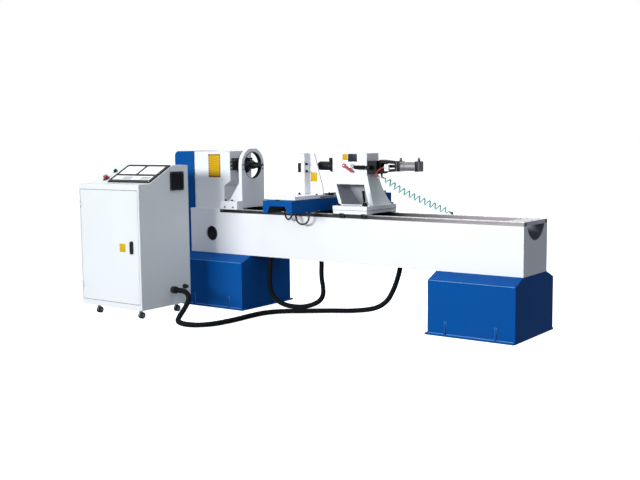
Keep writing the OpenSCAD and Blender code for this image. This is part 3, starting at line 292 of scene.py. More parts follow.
air_hose_teal = material("air_hose_teal", teal_finish, {"Coat Weight": 0.4})
axis, _ = even_line(spiral_route, coil_pitch / coil_points)
coil_r = (coil_d - air_d) / 2
spiral_line = []
for i, centre in enumerate(axis):
    ahead = (axis[min(i + 1, len(axis) - 1)] - axis[max(i - 1, 0)]).normalized()
    side = ahead.cross(Vector((0, 0, 1))).normalized()
    ease = min(1.0, i / coil_points, (len(axis) - 1 - i) / coil_points)
    around = 2 * pi * i / coil_points
    spiral_line.append(centre + coil_r * ease * (cos(around) * side + sin(around) * side.cross(ahead)))
spiral_length = sum((b - a).length for a, b in zip(spiral_line, spiral_line[1:]))
coil = tube("spiral_air_hose", spiral_line, air_d, air_hose_teal)
spiral_mesh = bpy.data.meshes.new_from_object(coil.evaluated_get(bpy.context.evaluated_depsgraph_get()))
bpy.data.objects.remove(coil)
spiral_mesh.name = "spiral_air_hose"
spiral_air_hose = placed("spiral_air_hose", spiral_mesh)
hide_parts("spiral_hose")
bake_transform(spiral_air_hose)

# ---- Carriage cables ----
# Two grey sheathed cables hang in short loops inside the carriage's open front end,
# clipped at both ends.
cable_d = 0.015
cable_routes = {
    "front_cable": [
        (0.753, -0.262, 0.836), (0.753, -0.262, 0.812), (0.763, -0.262, 0.783),
        (0.788, -0.262, 0.770), (0.812, -0.262, 0.788), (0.824, -0.262, 0.826),
        (0.826, -0.262, 0.868), (0.826, -0.262, 0.892)],
    "rear_cable": [
        (0.990, -0.262, 0.836), (0.990, -0.262, 0.812), (0.982, -0.262, 0.768),
        (0.950, -0.262, 0.741), (0.908, -0.262, 0.738), (0.872, -0.262, 0.762),
        (0.856, -0.262, 0.812), (0.852, -0.262, 0.866), (0.852, -0.262, 0.892)],
}
cable_rib = 0.0048
cable_grey = dull_plastic("cable_grey", (0.060, 0.057, 0.055, 1), 0.30)
for name, route in cable_routes.items():
    line, length = even_line(route, cable_rib / 4)
    cable = tube(name, line, cable_d, cable_grey, (1, 1, rib_valley, rib_valley))
    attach(cable, "carriage")
    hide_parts("carriage_cables")

# ---- Box bed and headstock seat ----
# The bed is welded from 15 mm plate and sprayed with a bluish-white enamel; the seat plate
# under the headstock is welded on and painted with it. Fillet welds run along the seat.


def enamel(name, colour, roughness, primer=(0.16, 0.17, 0.19, 1), wear=0.5, gloss=0.5, inside=None,
           grime_painted_shade_and_coat=(0.10, 0.10, 0.115, 1)):
    """Sprayed enamel on steel: orange peel, faint dust, edges rubbed thin, and a masked second colour:
    painted shade in hollows, and on the slide its second coat of blue.
    """
    def finish(place):
        cloud = place.noise(1.7, 4.0).clamp(0.35, 0.85)
        rubbed = (place.edge_mask(0.003) * place.noise(34.0, 4.0)).clamp(0.28, 0.6)
        paint = cloud.mix(colour, toned(colour, 0.92, 0.004))
        if inside:
            paint = inside(place).mix(paint, grime_painted_shade_and_coat)
        return {
            "Base Color": (wear * rubbed).mix(paint, primer),
            "Roughness": roughness + 0.10 * cloud + 0.15 * rubbed,
            "Normal": place.noise(240.0, 2.0).bump(0.0002, 0.22, place.soft_edges(0.0028)),
        }
    return material(name, finish, {"Specular IOR Level": gloss, "Coat Weight": 0.3 * gloss,
                                   "Coat Roughness": 0.2})


def dress(finish, *nodes):
    """Gives CAD nodes a material."""
    for name in nodes:
        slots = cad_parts[name].data.materials
        slots.clear()
        slots.append(finish)


def piece(name, mesh, body, finish):
    """Makes a finished object of a bmesh. It rides on a body."""
    data = bpy.data.meshes.new(name)
    mesh.to_mesh(data)
    mesh.free()
    data.materials.append(finish)
    data.shade_smooth()
    data.set_sharp_from_angle(angle=radians(40))
    made = placed(name, data)
    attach(made, body)


def round_off(mesh, edges, width, segments=2):
    bmesh.ops.bevel(mesh, geom=list(edges), offset=width, segments=segments,
                    affect="EDGES", profile=0.5, material=-1)


def slab(mesh, low, high, edge=0.0, turn=None, segments=2):
    """A block from its low corner to its high one, its edges rounded, then turned."""
    low, high = Vector(low), Vector(high)
    place = Matrix.Translation((low + high) / 2) @ Matrix.Diagonal((*(high - low), 1))
    verts = bmesh.ops.create_cube(mesh, size=1, matrix=(turn or Matrix()) @ place)["verts"]
    if edge:
        round_off(mesh, {e for v in verts for e in v.link_edges}, edge, segments)


def drum(mesh, start, end, radius, tip=None, sides=32, edge=0.0):
    """A cylinder or cone between two points, its rims rounded."""
    start, end = Vector(start), Vector(end)
    along = end - start
    place = Matrix.Translation((start + end) / 2) @ along.to_track_quat("Z", "Y").to_matrix().to_4x4()
    verts = bmesh.ops.create_cone(
        mesh, cap_ends=True, segments=sides, radius1=radius,
        radius2=radius if tip is None else tip, depth=along.length, matrix=place)["verts"]
    if edge:
        caps = {f for v in verts for f in v.link_faces if len(f.verts) == sides}
        round_off(mesh, {e for f in caps for e in f.edges}, edge)
    return verts


def weld(mesh, start, end, leg, pitch=0.009):
    """A fillet weld's bead: a thin round cord, swollen once for each ripple."""
    start, end = Vector(start), Vector(end)
    ahead = (end - start).normalized()
    count = max(2, round((end - start).length / pitch))
    old_verts, old_edges = set(mesh.verts), set(mesh.edges)
    place = Matrix.Translation(start) @ ahead.to_track_quat("Z", "Y").to_matrix().to_4x4()
    first = bmesh.ops.create_circle(mesh, segments=8, radius=leg, matrix=place)["verts"]
    bmesh.ops.spin(mesh, geom=first + [e for e in mesh.edges if e not in old_edges], cent=start,
                   axis=ahead, angle=0, dvec=(end - start) / (2 * count), steps=2 * count)
    for v in mesh.verts:
        if v not in old_verts:
            along = (v.co - start).dot(ahead)
            centre = start + ahead * along
            ripple = 0.88 + 0.12 * cos(2 * pi * along / (end - start).length * count)
            v.co = centre + (v.co - centre) * ripple
    ends = [e for e in mesh.edges if e not in old_edges and e.is_boundary]
    caps = bmesh.ops.holes_fill(mesh, edges=ends, sides=8)["faces"]
    bmesh.ops.recalc_face_normals(mesh, faces=list({f for v in mesh.verts if v not in old_verts
                                                    for f in v.link_faces} | set(caps)))


white = (0.71, 0.735, 0.775, 1)
bed_low, bed_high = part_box("bed")
bed_wall, skin = 0.015, 0.001
shade_x0, shade_x1 = 1.35, 2.35


def bed_inside_shade(place):
    """The faces within the bed's walls, which get a near-black painted shade, lighter towards the tailstock
    end.
    """
    x, y, z = (place.axis(name) for name in "XYZ")
    return (y.math("ABSOLUTE", y, 0.0).under(bed_high.y - bed_wall + skin)
            * x.under(bed_high.x - skin) * z.under(bed_high.z - skin)
            * (1 - 0.35 * x.clamp(shade_x0, shade_x1)))


enamel_white = enamel("enamel_white", white, 0.36)
dress(enamel_white, "headstock_seat")
# Inside its walls the bed gets painted shade.
dress(enamel("bed_paint", white, 0.36, inside=bed_inside_shade), "bed")
seat_low, seat_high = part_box("headstock_seat")
bead_in, bead_end = 0.002, 0.010
mesh = bmesh.new()
for y in (seat_low.y + bead_in, seat_high.y - bead_in):
    weld(mesh, (seat_low.x + bead_end, y, seat_low.z), (seat_high.x - bead_end, y, seat_low.z), 0.0035)
piece("seat_weld", mesh, "root", enamel_white)

# ---- Bases ----
# Two boxes of 10 mm plate, chamfered in to the bed's width at the top, with a foot plate and
# small gussets. They are sprayed in blue enamel and welded all round.
blue = (0.0005, 0.067, 0.275, 1)
blue_coat = (blue, 0.42, (0.10, 0.22, 0.42, 1), 0.8, 0.03)
enamel_blue = enamel("enamel_blue", *blue_coat)
# The weld beads are real, but painted a lighter blue than the bases, with nearly white edges: a painted
# highlight where they catch the light.
weld_highlight_blue = enamel("weld_highlight_blue", (0.05, 0.20, 0.48, 1), 0.30, (0.45, 0.62, 0.80, 1), 1.0)
dress(enamel_blue, "base_headstock_end", "base_tailstock_end")
base_reach, bead_reach = 0.338, 0.33
foot_top, chamfer_z = 0.014, 0.394
gusset_out, gusset_top, gusset_half = 0.195, 0.104, 0.007
base_low, base_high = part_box("base_headstock_end")
base_mids = (base_low.x + base_reach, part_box("base_tailstock_end")[1].x - base_reach)
wall_y = base_high.y - 0.016
mesh = bmesh.new()
for mid_x, y in product(base_mids, (-wall_y, wall_y)):
    for z, leg in ((foot_top, 0.005), (chamfer_z - 0.001, 0.003)):
        weld(mesh, (mid_x - bead_reach, y, z), (mid_x + bead_reach, y, z), leg)
    for out, half in product((-gusset_out, gusset_out), (-gusset_half, gusset_half)):
        x = mid_x + out + half
        weld(mesh, (x, y, foot_top + 0.004), (x, y, gusset_top), 0.003)
piece("base_welds", mesh, "root", weld_highlight_blue)

# ---- Bed bolts ----
# The bed's floor plate is bolted down to each base from inside: hexagon-head screws in two
# rows, which a spanner reaches through the bed's chip slot.


def hex_bolt(mesh, foot, out, size):
    """A hexagon-head screw on a washer. foot is on the surface and out points away from it."""
    foot, out = Vector(foot), Vector(out)
    washer_top, head_top = foot + out * size * 0.18, foot + out * size * 0.82
    drum(mesh, foot, washer_top, size * 1.05, sides=24, edge=size * 0.04)
    drum(mesh, washer_top, head_top, size * 0.92, sides=6, edge=size * 0.07)


def dark_finish(place):
    """Blackened steel, oiled, rubbed bright on its edges."""
    rubbed = (place.edge_mask(0.0012) * place.noise(120.0, 3.0)).clamp(0.25, 0.6)
    return {
        "Base Color": (0.30 * rubbed).mix((0.007, 0.007, 0.009, 1), (0.20, 0.20, 0.21, 1)),
        "Roughness": 0.38 + 0.22 * place.noise(22.0, 3.0),
        "Metallic": 0.60 * rubbed,
        "Normal": place.noise(700.0).bump(0.0001, 0.3, place.soft_edges(0.0012)),
    }


black_steel = material("black_steel", dark_finish, {"Specular IOR Level": 0.18})
mesh = bmesh.new()
for mid_x, x, y in product(base_mids, (-0.24, -0.08, 0.08, 0.24), (-0.15, 0.15)):
    hex_bolt(mesh, (mid_x + x, y, bed_low.z + bed_wall), (0, 0, 1), 0.016)
piece("bed_bolts", mesh, "root", black_steel)

# ---- Ways and the bed's end plate ----
# The ways are hardened steel bars, ground on top and left bright with a film of oil. They are
# screwed to the bed in counterbores from above; the end plate is a plain ground plate.


def ground(name, colour, roughness, lay, top=None):
    """Ground steel: scratches along one direction, stains of oil. Below its top it gets painted shade,
    lighter towards the tailstock end.
    """
    def finish(place):
        scratch = place.stretch(*lay).noise(1.0, 3.0)
        stain = place.noise(5.0, 4.0).clamp(0.45, 0.75)
        steel = (0.5 * stain + 0.3 * scratch).mix(colour, toned(colour, 0.62))
        if top:
            # Painted shade on the flanks: near black at the headstock end, lighter towards the tailstock end.
            lit_share = place.axis("X").clamp(shade_x0, shade_x1)
            flank_shade = lit_share.mix((0.035, 0.036, 0.040, 1), (0.20, 0.19, 0.20, 1))
            steel = place.axis("Z").under(top - 0.001).mix(steel, flank_shade)
        return {
            "Base Color": steel,
            "Roughness": roughness + 0.16 * scratch + 0.1 * stain,
            "Normal": scratch.bump(0.0001, 0.15, place.soft_edges(0.0012)),
        }
    return material(name, finish, {"Metallic": 0.85})


def evenly(first, last, count):
    """Places at even distances from the first to the last."""
    return [first + (last - first) * i / (count - 1) for i in range(count)]


def cap_screw(mesh, foot, out, size, sides=20):
    """A socket-head cap screw with its recess."""
    foot, out = Vector(foot), Vector(out)
    verts = drum(mesh, foot, foot + out * size * 0.9, size * 0.78, sides=sides)
    top = max({f for v in verts for f in v.link_faces if len(f.verts) == sides},
              key=lambda f: f.calc_center_median().dot(out))
    bmesh.ops.inset_region(mesh, faces=[top], thickness=size * 0.30)
    bmesh.ops.translate(mesh, verts=top.verts, vec=-out * size * 0.5)


def cap_screws(name, feet, out, size, body, finish, sides=20):
    """A piece of alike cap screws, one on each foot."""
    mesh = bmesh.new()
    for foot in feet:
        cap_screw(mesh, foot, out, size, sides)
    piece(name, mesh, body, finish)


way_low, way_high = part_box("guide_ways")
dress(ground("way_steel", (0.82, 0.83, 0.85, 1), 0.36, (3, 900, 900), way_high.z), "guide_ways")
dress(ground("plate_steel", (0.62, 0.63, 0.66, 1), 0.38, (900, 4, 900)), "bed_end_plate")
way_side, way_in = way_high.y, 0.155
way_mid = (way_side + way_in) / 2
mesh = bmesh.new()
for x, y in product(evenly(way_low.x + 0.08, way_high.x - 0.06, 19), (-way_mid, way_mid)):
    drum(mesh, (x, y, way_high.z - 0.0005), (x, y, way_high.z + 0.0001), 0.0095, sides=24)
    drum(mesh, (x, y, way_high.z - 0.0004), (x, y, way_high.z + 0.0002), 0.0065, sides=6)
piece("way_screws", mesh, "root", black_steel)
plate_low, plate_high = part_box("bed_end_plate")
cap_screws("end_plate_screws", product((plate_low.x + 0.03, plate_high.x - 0.03), (-0.12, 0, 0.12),
                                       (plate_high.z - 0.006,)),
           (0, 0, 1), 0.008, "root", black_steel)

# ---- Headstock ----
# A machined casting, sprayed white, and bolted down to the seat plate. Two black keeper
# blocks on its face hold the front bearing in; clamp screws stand in a row on top of each.
head_low, head_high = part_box("headstock")
spindle_low, spindle_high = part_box("spindle")
axis_z = (spindle_low.z + spindle_high.z) / 2
dress(enamel_white, "headstock")
bright_steel = ground("bright_steel", (0.60, 0.61, 0.63, 1), 0.22, (40, 600, 600))
dress(bright_steel, "spindle_bearings")


def block(name, low, high, body, finish, edge=0.0, turn=None, segments=2):
    """A piece that is one slab."""
    mesh = bmesh.new()
    slab(mesh, low, high, edge, turn, segments)
    piece(name, mesh, body, finish)


keeper_low, keeper_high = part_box("bearing_keeper")
keeper_mid = (keeper_low.x + keeper_high.x) / 2
stud_h = 0.012
mesh = bmesh.new()
for y, side in product((0.062, 0.084, 0.106, 0.128), (-1, 1)):
    foot, neck = [(keeper_mid, side * y, keeper_high.z + up) for up in (0, stud_h)]
    drum(mesh, foot, neck, 0.005, sides=16)
    cap_screw(mesh, neck, (0, 0, 1), 0.011)
for y, side in product((0.066, 0.122), (-1, 1)):
    cap_screw(mesh, (keeper_high.x, side * y, axis_z), (1, 0, 0), 0.012)
piece("keeper_screws", mesh, "root", black_steel)
mesh = bmesh.new()
pin_x, pin_y = keeper_low.x + 0.012, keeper_low.y
for z in (axis_z - 0.020, axis_z + 0.014):
    drum(mesh, (pin_x, pin_y + 0.001, z), (pin_x, pin_y - 0.0012, z), 0.0048, sides=20, edge=0.0004)
piece("keeper_pins", mesh, "root", bright_steel)
trim_in, trim_out = 0.003, 0.0015
nose_len = 0.07
block("head_foot_trim", (head_low.x + trim_in, head_low.y - trim_out, seat_high.z),
      (head_high.x - nose_len - trim_in, head_high.y + trim_out, seat_high.z + 0.012),
      "root", enamel_white, 0.001)
cap_screws("head_top_screws", product((head_low.x + 0.05, head_high.x - 0.06),
                                      (head_low.y + 0.028, head_high.y - 0.028), (head_high.z - 0.0075,)),
           (0, 0, 1), 0.010, "root", black_steel)

# ---- Notice plate ----
# A thin enamelled plate is riveted to the headstock's front. It is left blank, with a dark
# dashed border, faint ruled rows and a plain band at its foot.


def amber_finish(place):
    """Stove-enamelled sheet with a faint cloud in its colour."""
    cloud = place.noise(14.0, 4.0)
    return {
        "Base Color": cloud.mix((0.48, 0.27, 0.002, 1), (0.58, 0.37, 0.004, 1)),
        "Roughness": 0.40 + 0.1 * cloud,
        "Normal": place.noise(300.0).bump(0.0001, 0.15),
    }


amber = material("amber_enamel", amber_finish, {"Specular IOR Level": 0.15})
print_black = dull_plastic("print_black", (0.02, 0.02, 0.022, 1), 0.5)
ochre = dull_plastic("ochre_print", (0.34, 0.15, 0.004, 1), 0.45)
plate_t, plate_in = 0.0012, 0.0005


def blank_plate(name, low, high, face_y, body, finish):
    """A thin plate on a face that looks at the operator. low and high are its (x, z) corners."""
    block(name, (low[0], face_y - plate_t, low[1]), (high[0], face_y + plate_in, high[1]),
          body, finish, 0.0004)


left, bottom, right, top = -0.173, 1.088, -0.038, 1.286
blank_plate("notice_plate", (left, bottom), (right, top), head_low.y, "root", amber)
dash, border_w, margin = 0.0110, 0.0115, 0.0005
border_x0, border_x1 = left + margin, right - margin
border_z0, border_z1 = bottom + margin, top - margin
border_y0, border_y1 = head_low.y - plate_t - 0.0004, head_low.y - plate_t + 0.0002
mesh = bmesh.new()
across = round((border_x1 - border_x0) / dash / 2)
for i, z in product(range(across), (border_z0, border_z1 - border_w)):
    x = border_x0 + (border_x1 - border_x0) * (i + 0.25) / across
    slab(mesh, (x, border_y0, z), (x + dash, border_y1, z + border_w))
upward = round((border_z1 - border_z0) / dash / 2)
for i, x in product(range(upward), (border_x0, border_x1 - border_w)):
    z = border_z0 + (border_z1 - border_z0) * (i + 0.25) / upward
    slab(mesh, (x, border_y0, z), (x + border_w, border_y1, z + dash))
piece("notice_border", mesh, "root", print_black)
rule_x, rule_z, rule_half = 0.020, 0.024, 0.0014
mesh = bmesh.new()
for i, z in enumerate(evenly(bottom + rule_z, top - rule_z, 9)):
    slab(mesh, (left + rule_x, head_low.y - 0.0015, z - rule_half),
         (right - rule_x - 0.014 * (i % 3), head_low.y - 0.0010, z + rule_half))
slab(mesh, (left + 0.004, head_low.y - 0.0014, bottom + 0.003),
     (right - 0.004, head_low.y - 0.0010, bottom + 0.015))
piece("notice_rules", mesh, "root", ochre)

# ---- Spindle nose ----
# The spindle is blackened. The driving centre is screwed to its disc, and four chisel fins
# that bite into the workpiece stand round the centre's point.
dress(black_steel, "spindle", "spindle_pulley", "motor_pulley")


def round_pattern(centre, axis, radius, count, first=0.0):
    """Places evenly round a circle."""
    centre, axis = Vector(centre), Vector(axis)
    side = axis.orthogonal().normalized()
    return [centre + Matrix.Rotation(first + 2 * pi * i / count, 3, axis) @ side * radius
            for i in range(count)]


disc_x = 0.130
cap_screws("driving_centre_screws", round_pattern((disc_x, 0, axis_z), (1, 0, 0), 0.041, 6, pi / 6),
           (1, 0, 0), 0.006, "spindle", black_steel)
fin_x0, fin_x1 = spindle_high.x - 0.112, spindle_high.x - 0.034
fin_half, fin_in, fin_out, fin_slant = 0.0035, 0.008, 0.031, 0.022
mesh = bmesh.new()
for i in range(4):
    turn = Matrix.Translation((0, 0, axis_z)) @ Matrix.Rotation(pi / 4 + i * pi / 2, 4, "X")
    slab(mesh, (fin_x0, -fin_half, fin_in), (fin_x1, fin_half, fin_out), turn=turn)
for v in mesh.verts:
    if v.co.x > (fin_x0 + fin_x1) / 2 and Vector((v.co.y, v.co.z - axis_z)).length > 0.02:
        v.co.x -= fin_slant
piece("driving_fins", mesh, "spindle", black_steel)

# ---- Belt guard ----
# Folded 4 mm sheet, blue, spot-welded at its seams and screwed to the headstock's end face
# through small tabs. A thinner hem hangs below it, and a hatch closes its end.
dress(enamel_blue, "belt_guard")
guard_low, guard_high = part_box("belt_guard")
tab_x = guard_high.x - 0.014
mesh = bmesh.new()
for i, side in product(range(5), (-1, 1)):
    y, z = side * guard_high.y, guard_low.z + 0.05 + 0.19 * i
    drum(mesh, (tab_x, y, z), (tab_x, y + side * 0.0028, z), 0.0065, 0.0045, sides=20, edge=0.0006)
piece("guard_screws", mesh, "root", enamel_blue)
block("guard_hatch", (guard_low.x - 0.0008, guard_low.y + 0.05, 0.62),
      (guard_low.x + 0.002, guard_high.y - 0.05, 1.16), "root", enamel_blue, 0.0012)
hem_z, hem_top, hem_t = 0.385, guard_low.z + 0.002, 0.003
mesh = bmesh.new()
for y in (guard_low.y, guard_high.y - hem_t):
    slab(mesh, (guard_low.x, y, hem_z), (guard_high.x - 0.001, y + hem_t, hem_top), 0.0008)
slab(mesh, (guard_low.x, guard_low.y, hem_z), (guard_low.x + hem_t, guard_high.y, hem_top), 0.0008)
piece("guard_hem", mesh, "root", enamel_blue)

# ---- Motor and drive ----
# A foot-mounted induction motor lies in the bed under the headstock, its fan behind a wire
# guard. A flat rubber belt runs up to the spindle pulley inside the belt guard.
motor_paint = enamel("motor_paint", (0.10, 0.11, 0.12, 1), 0.45)
dress(motor_paint, "spindle_motor")
dress(dull_plastic("belt_rubber", (0.018, 0.018, 0.018, 1), 0.62, 400.0), "drive_belt")


def ring(mesh, centre, axis, outer, inner, width, sides=64):
    """A flat ring that stands width thick on a plane, made by spinning its section."""
    centre, axis = Vector(centre), Vector(axis).normalized()
    side = axis.orthogonal().normalized()
    old = set(mesh.faces)
    verts = [mesh.verts.new(centre + side * r + axis * a)
             for r, a in ((inner, 0), (outer, 0), (outer, width), (inner, width))]
    edges = [mesh.edges.new((verts[i], verts[(i + 1) % 4])) for i in range(4)]
    bmesh.ops.spin(mesh, geom=verts + edges, cent=centre, axis=axis, angle=2 * pi,
                   steps=sides, use_merge=True)
    bmesh.ops.recalc_face_normals(mesh, faces=[f for f in mesh.faces if f not in old])


motor_low, motor_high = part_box("spindle_motor")
motor_z = motor_high.z - (motor_high.y - motor_low.y) / 2
wire, wire_t, cross_half = 0.004, 0.003, 0.092
mesh = bmesh.new()
for outer in evenly(0.030, 0.087, 4):
    ring(mesh, (motor_high.x, 0, motor_z), (1, 0, 0), outer, outer - wire, wire, sides=40)
for y, z in ((cross_half, wire), (wire, cross_half)):
    slab(mesh, (motor_high.x, -y, motor_z - z), (motor_high.x + wire_t, y, motor_z + z))
piece("motor_fan_guard", mesh, "root", motor_paint)

# ---- Ring rest ----
# A white arched plate on a broad foot, gusseted at the back. A dark cast bush lines its hole,
# held by set screws, and screws and side clamps hold the foot to the ways.
dress(enamel_white, "ring_rest")
dress(black_steel, "ring_bush")
ring_low, ring_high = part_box("ring_rest")
ring_foot_top = ring_low.z + 0.070
mesh = bmesh.new()
for x, y in product((ring_low.x + 0.030, ring_high.x - 0.080), (ring_low.y + 0.028, ring_high.y - 0.028)):
    cap_screw(mesh, (x, y, ring_foot_top), (0, 0, 1), 0.012)
for x, side in product((ring_low.x + 0.045, ring_high.x - 0.045), (-1, 1)):
    cap_screw(mesh, (x, side * ring_high.y, ring_low.z + 0.020), (0, side, 0), 0.008)
piece("ring_foot_screws", mesh, "root", black_steel)
cap_screws("ring_screws", [(ring_high.x, y, z) for z, y in product((axis_z - 0.030, axis_z + 0.006),
                                                                   (-0.130, 0.130))],
           (1, 0, 0), 0.006, "root", black_steel)


def way_clamps(name, spans, reach, low_z, high_z, body):
    """Black blocks against both outer sides of the ways, one pair for each span along X."""
    mesh = bmesh.new()
    for (x0, x1), side in product(spans, (-1, 1)):
        y0, y1 = sorted((side * way_side, side * (way_side + reach)))
        slab(mesh, (x0, y0, low_z), (x1, y1, high_z), 0.002)
    piece(name, mesh, body, black_steel)


way_clamps("ring_clamps", ((0.045, 0.100), (0.128, 0.188)), 0.012, way_low.z + 0.002,
           ring_low.z + 0.001, "root")

# ---- Ball screws and servo motors ----
# A servo motor, the ground ball screw and its two bearing bars lie inside the bed. The cross
# screw on the carriage has a servo motor too.
dress(dull_plastic("servo_black", (0.022, 0.023, 0.025, 1), 0.42), "x_servo", "y_servo")
dress(ground("cast_grey", (0.30, 0.31, 0.32, 1), 0.42, (160, 160, 160)), "screw_supports")
thread_pitch = 0.010


def thread_finish(along):
    """A ground ball screw: the thread shows as fine bright and dark bands."""
    def finish(place):
        turned = place.axis(along) * (2 * pi / thread_pitch)
        groove = turned.math("SINE", turned, 0.0).clamp(0.1, 0.9)
        return {"Base Color": groove.mix((0.60, 0.60, 0.62, 1), (0.22, 0.22, 0.23, 1)),
                "Roughness": 0.22 + 0.2 * groove,
                "Normal": (1 - groove).bump(0.001, 0.6)}
    return finish


for along in "XY":
    thread = material(f"thread_{along.lower()}", thread_finish(along), {"Metallic": 0.9})
    dress(thread, f"{along.lower()}_screw")

# ---- Carriage ----
# A blue channel-section casting that crosses the bed on four shoes. Rubber wipers keep chips
# off the shoes; the cross rails are screwed down along their middles.
carriage_low, carriage_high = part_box("carriage")
carriage_mid = (carriage_low.x + carriage_high.x) / 2
channel_x = carriage_high.x - carriage_mid - 0.012


def channel_shade(place):
    """The faces within the carriage's channel, which get a near-black painted shade."""
    x, y, z = (place.axis(name) for name in "XYZ")
    off_middle = x - carriage_mid
    return (off_middle.math("ABSOLUTE", off_middle, 0.0).under(channel_x)
            * z.under(carriage_high.z - 0.002) * (carriage_low.y + 0.001 - y).under(0.0))


# Inside its channel the carriage gets painted shade.
dress(enamel("carriage_paint", *blue_coat, inside=channel_shade, grime_painted_shade_and_coat=(0.012, 0.013, 0.016, 1)), "carriage")
dress(ground("shoe_steel", (0.40, 0.41, 0.43, 1), 0.34, (300, 30, 300)), "guide_shoes", "cross_rails")
shoes_low, shoes_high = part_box("guide_shoes")
rails_low, rails_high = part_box("cross_rails")
carriage_top = rails_low.z
rail_w = 0.032
mesh = bmesh.new()
for x, y in product((rails_low.x + rail_w / 2, rails_high.x - rail_w / 2),
                    evenly(rails_low.y + 0.04, rails_high.y - 0.04, 14)):
    drum(mesh, (x, y, rails_high.z - 0.001), (x, y, rails_high.z + 0.0001), 0.006, sides=20)
    drum(mesh, (x, y, rails_high.z - 0.0005), (x, y, rails_high.z + 0.0002), 0.0035, sides=6)
piece("rail_screws", mesh, "carriage", black_steel)
wiper_rubber = dull_plastic("wiper_rubber", (0.015, 0.015, 0.016, 1), 0.6, 500.0)
wiper_t, wiper_z = 0.006, shoes_high.z + 0.006
mesh = bmesh.new()
for x, (y0, y1) in product((carriage_low.x - wiper_t, carriage_high.x),
                           ((-way_side, -way_in), (way_in, way_side))):
    slab(mesh, (x, y0, shoes_low.z - 0.0002), (x + wiper_t, y1, shoes_high.z + 0.012), 0.001)
piece("way_wipers", mesh, "carriage", wiper_rubber)
mesh = bmesh.new()
for side, y in product((-1, 1), (-0.190, -0.165, 0.165, 0.190)):
    x = carriage_mid + side * (carriage_high.x - carriage_mid + wiper_t)
    cap_screw(mesh, (x, y, wiper_z), (side, 0, 0), 0.004, 12)
piece("wiper_screws", mesh, "carriage", bright_steel)
cap_screws("carriage_top_screws", product((carriage_low.x + 0.060, carriage_high.x - 0.060),
                                          (0.0, 0.19, 0.40, 0.60, 0.84), (carriage_top,)),
           (0, 0, 1), 0.010, "carriage", black_steel)
block("cross_screw_stop", (carriage_mid - 0.020, carriage_low.y + 0.0005, carriage_top - 0.014),
      (carriage_mid + 0.020, carriage_low.y + 0.012, carriage_top + 0.012),
      "carriage", black_steel, 0.002)
clip_half = 0.007
mesh = bmesh.new()
for x, y, z in (route[0] for route in cable_routes.values()):
    slab(mesh, (x - 0.012, y - clip_half, z - 0.005), (x + 0.012, y + clip_half, z + 0.0002), 0.0015)
for x, y, z in (route[-1] for route in cable_routes.values()):
    slab(mesh, (x - 0.009, y - clip_half, z - 0.006), (x + 0.009, y + clip_half, z + 0.0001), 0.0015)
piece("cable_clips", mesh, "carriage", wiper_rubber)
servo_low, servo_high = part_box("y_servo")
cap_screws("servo_screws", [(x, servo_low.y, z) for x, z in product(
    (servo_low.x + 0.008, servo_high.x - 0.008), (servo_low.z + 0.009, servo_high.z - 0.009))],
           (0, -1, 0), 0.006, "carriage", bright_steel)
socket_y = servo_high.y - 0.030
mesh = bmesh.new()
for x, radius in ((carriage_mid - 0.018, 0.010), (carriage_mid + 0.016, 0.012)):
    drum(mesh, (x, socket_y, servo_high.z - 0.008), (x, socket_y, servo_high.z - 0.0002), radius,
         sides=24, edge=0.001)
piece("servo_sockets", mesh, "carriage", black_steel)

# ---- Tool slide and tool post ----
# The slide plate is painted white and carries the post, an upright plate with a tapered web.
# The black holder is screwed to it and clamps a square-shanked turning tool.
slide_low, slide_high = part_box("tool_slide")
slide_top = slide_high.z
blue_top = slide_top - 0.026


def slide_sides(place):
    """What lies below the slide's white top plate, painted as the carriage is."""
    return place.axis("Z").under(blue_top)


dress(enamel_white, "tool_post")
dress(enamel("slide_paint", white, 0.36, inside=slide_sides, grime_painted_shade_and_coat=blue), "tool_slide")
dress(black_steel, "tool_holder")
post_low, post_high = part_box("tool_post")
holder_low, holder_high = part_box("tool_holder")
post_x1, web_y = post_low.x + 0.034, -0.104
front_row, middle_row = -0.170, -0.086
cap_screws("slide_screws", [(x, y, slide_top) for x, y in (
    (slide_high.x - 0.014, front_row), (slide_high.x - 0.014, middle_row),
    (slide_low.x + 0.030, middle_row), (slide_low.x + 0.114, -0.193))],
           (0, 0, 1), 0.011, "tool_slide", conduit_black)
rail_top, stop_x, stop_y = slide_low.z + 0.037, slide_high.x - 0.024, 0.014
mesh = bmesh.new()
slab(mesh, (stop_x - 0.009, 0.040, rail_top), (stop_x + 0.009, 0.064, rail_top + 0.018), 0.001)
drum(mesh, (stop_x, stop_y, rail_top), (stop_x, stop_y, rail_top + 0.026), 0.006, sides=20, edge=0.0008)
piece("slide_stops", mesh, "carriage", conduit_black)
post_corner, web_corner = (post_x1, post_low.y, slide_top), (post_x1, web_y, slide_top)
mesh = bmesh.new()
for start, end in (((post_low.x, post_low.y, slide_top), post_corner), (post_corner, web_corner),
                   (web_corner, (post_high.x, web_y, slide_top)),
                   (web_corner, (post_x1, web_y, post_high.z - 0.004))):
    weld(mesh, start, end, 0.0035)
piece("post_welds", mesh, "tool_slide", enamel_white)
cap_screws("post_screws", [(post_x1, post_low.y + 0.022, z) for z in (1.150, 1.207)],
           (1, 0, 0), 0.012, "tool_slide", black_steel)
cap_screws("holder_screws", [((holder_low.x + post_low.x) / 2, holder_low.y + y, holder_high.z - 0.006)
                             for y in (0.020, 0.062)],
           (0, 0, 1), 0.008, "tool_slide", black_steel)
blank_plate("post_plate", (0.896, 1.068), (0.958, 1.140), web_y, "tool_slide", amber)

# ---- Tailstock ----
# The hollow casting is sprayed white inside and out. Its foot is clamped to the ways through a
# sole plate by four long screws and the handled clamp screw.
body_low, body_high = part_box("tailstock_body")
sole_low, sole_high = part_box("tailstock_sole")
tail_front = -0.083
foot_z, hollow_top = sole_high.z + 0.033, body_high.z - 0.2
leg_lean, leg_x0, leg_x1 = 0.28, 1.414, 1.704


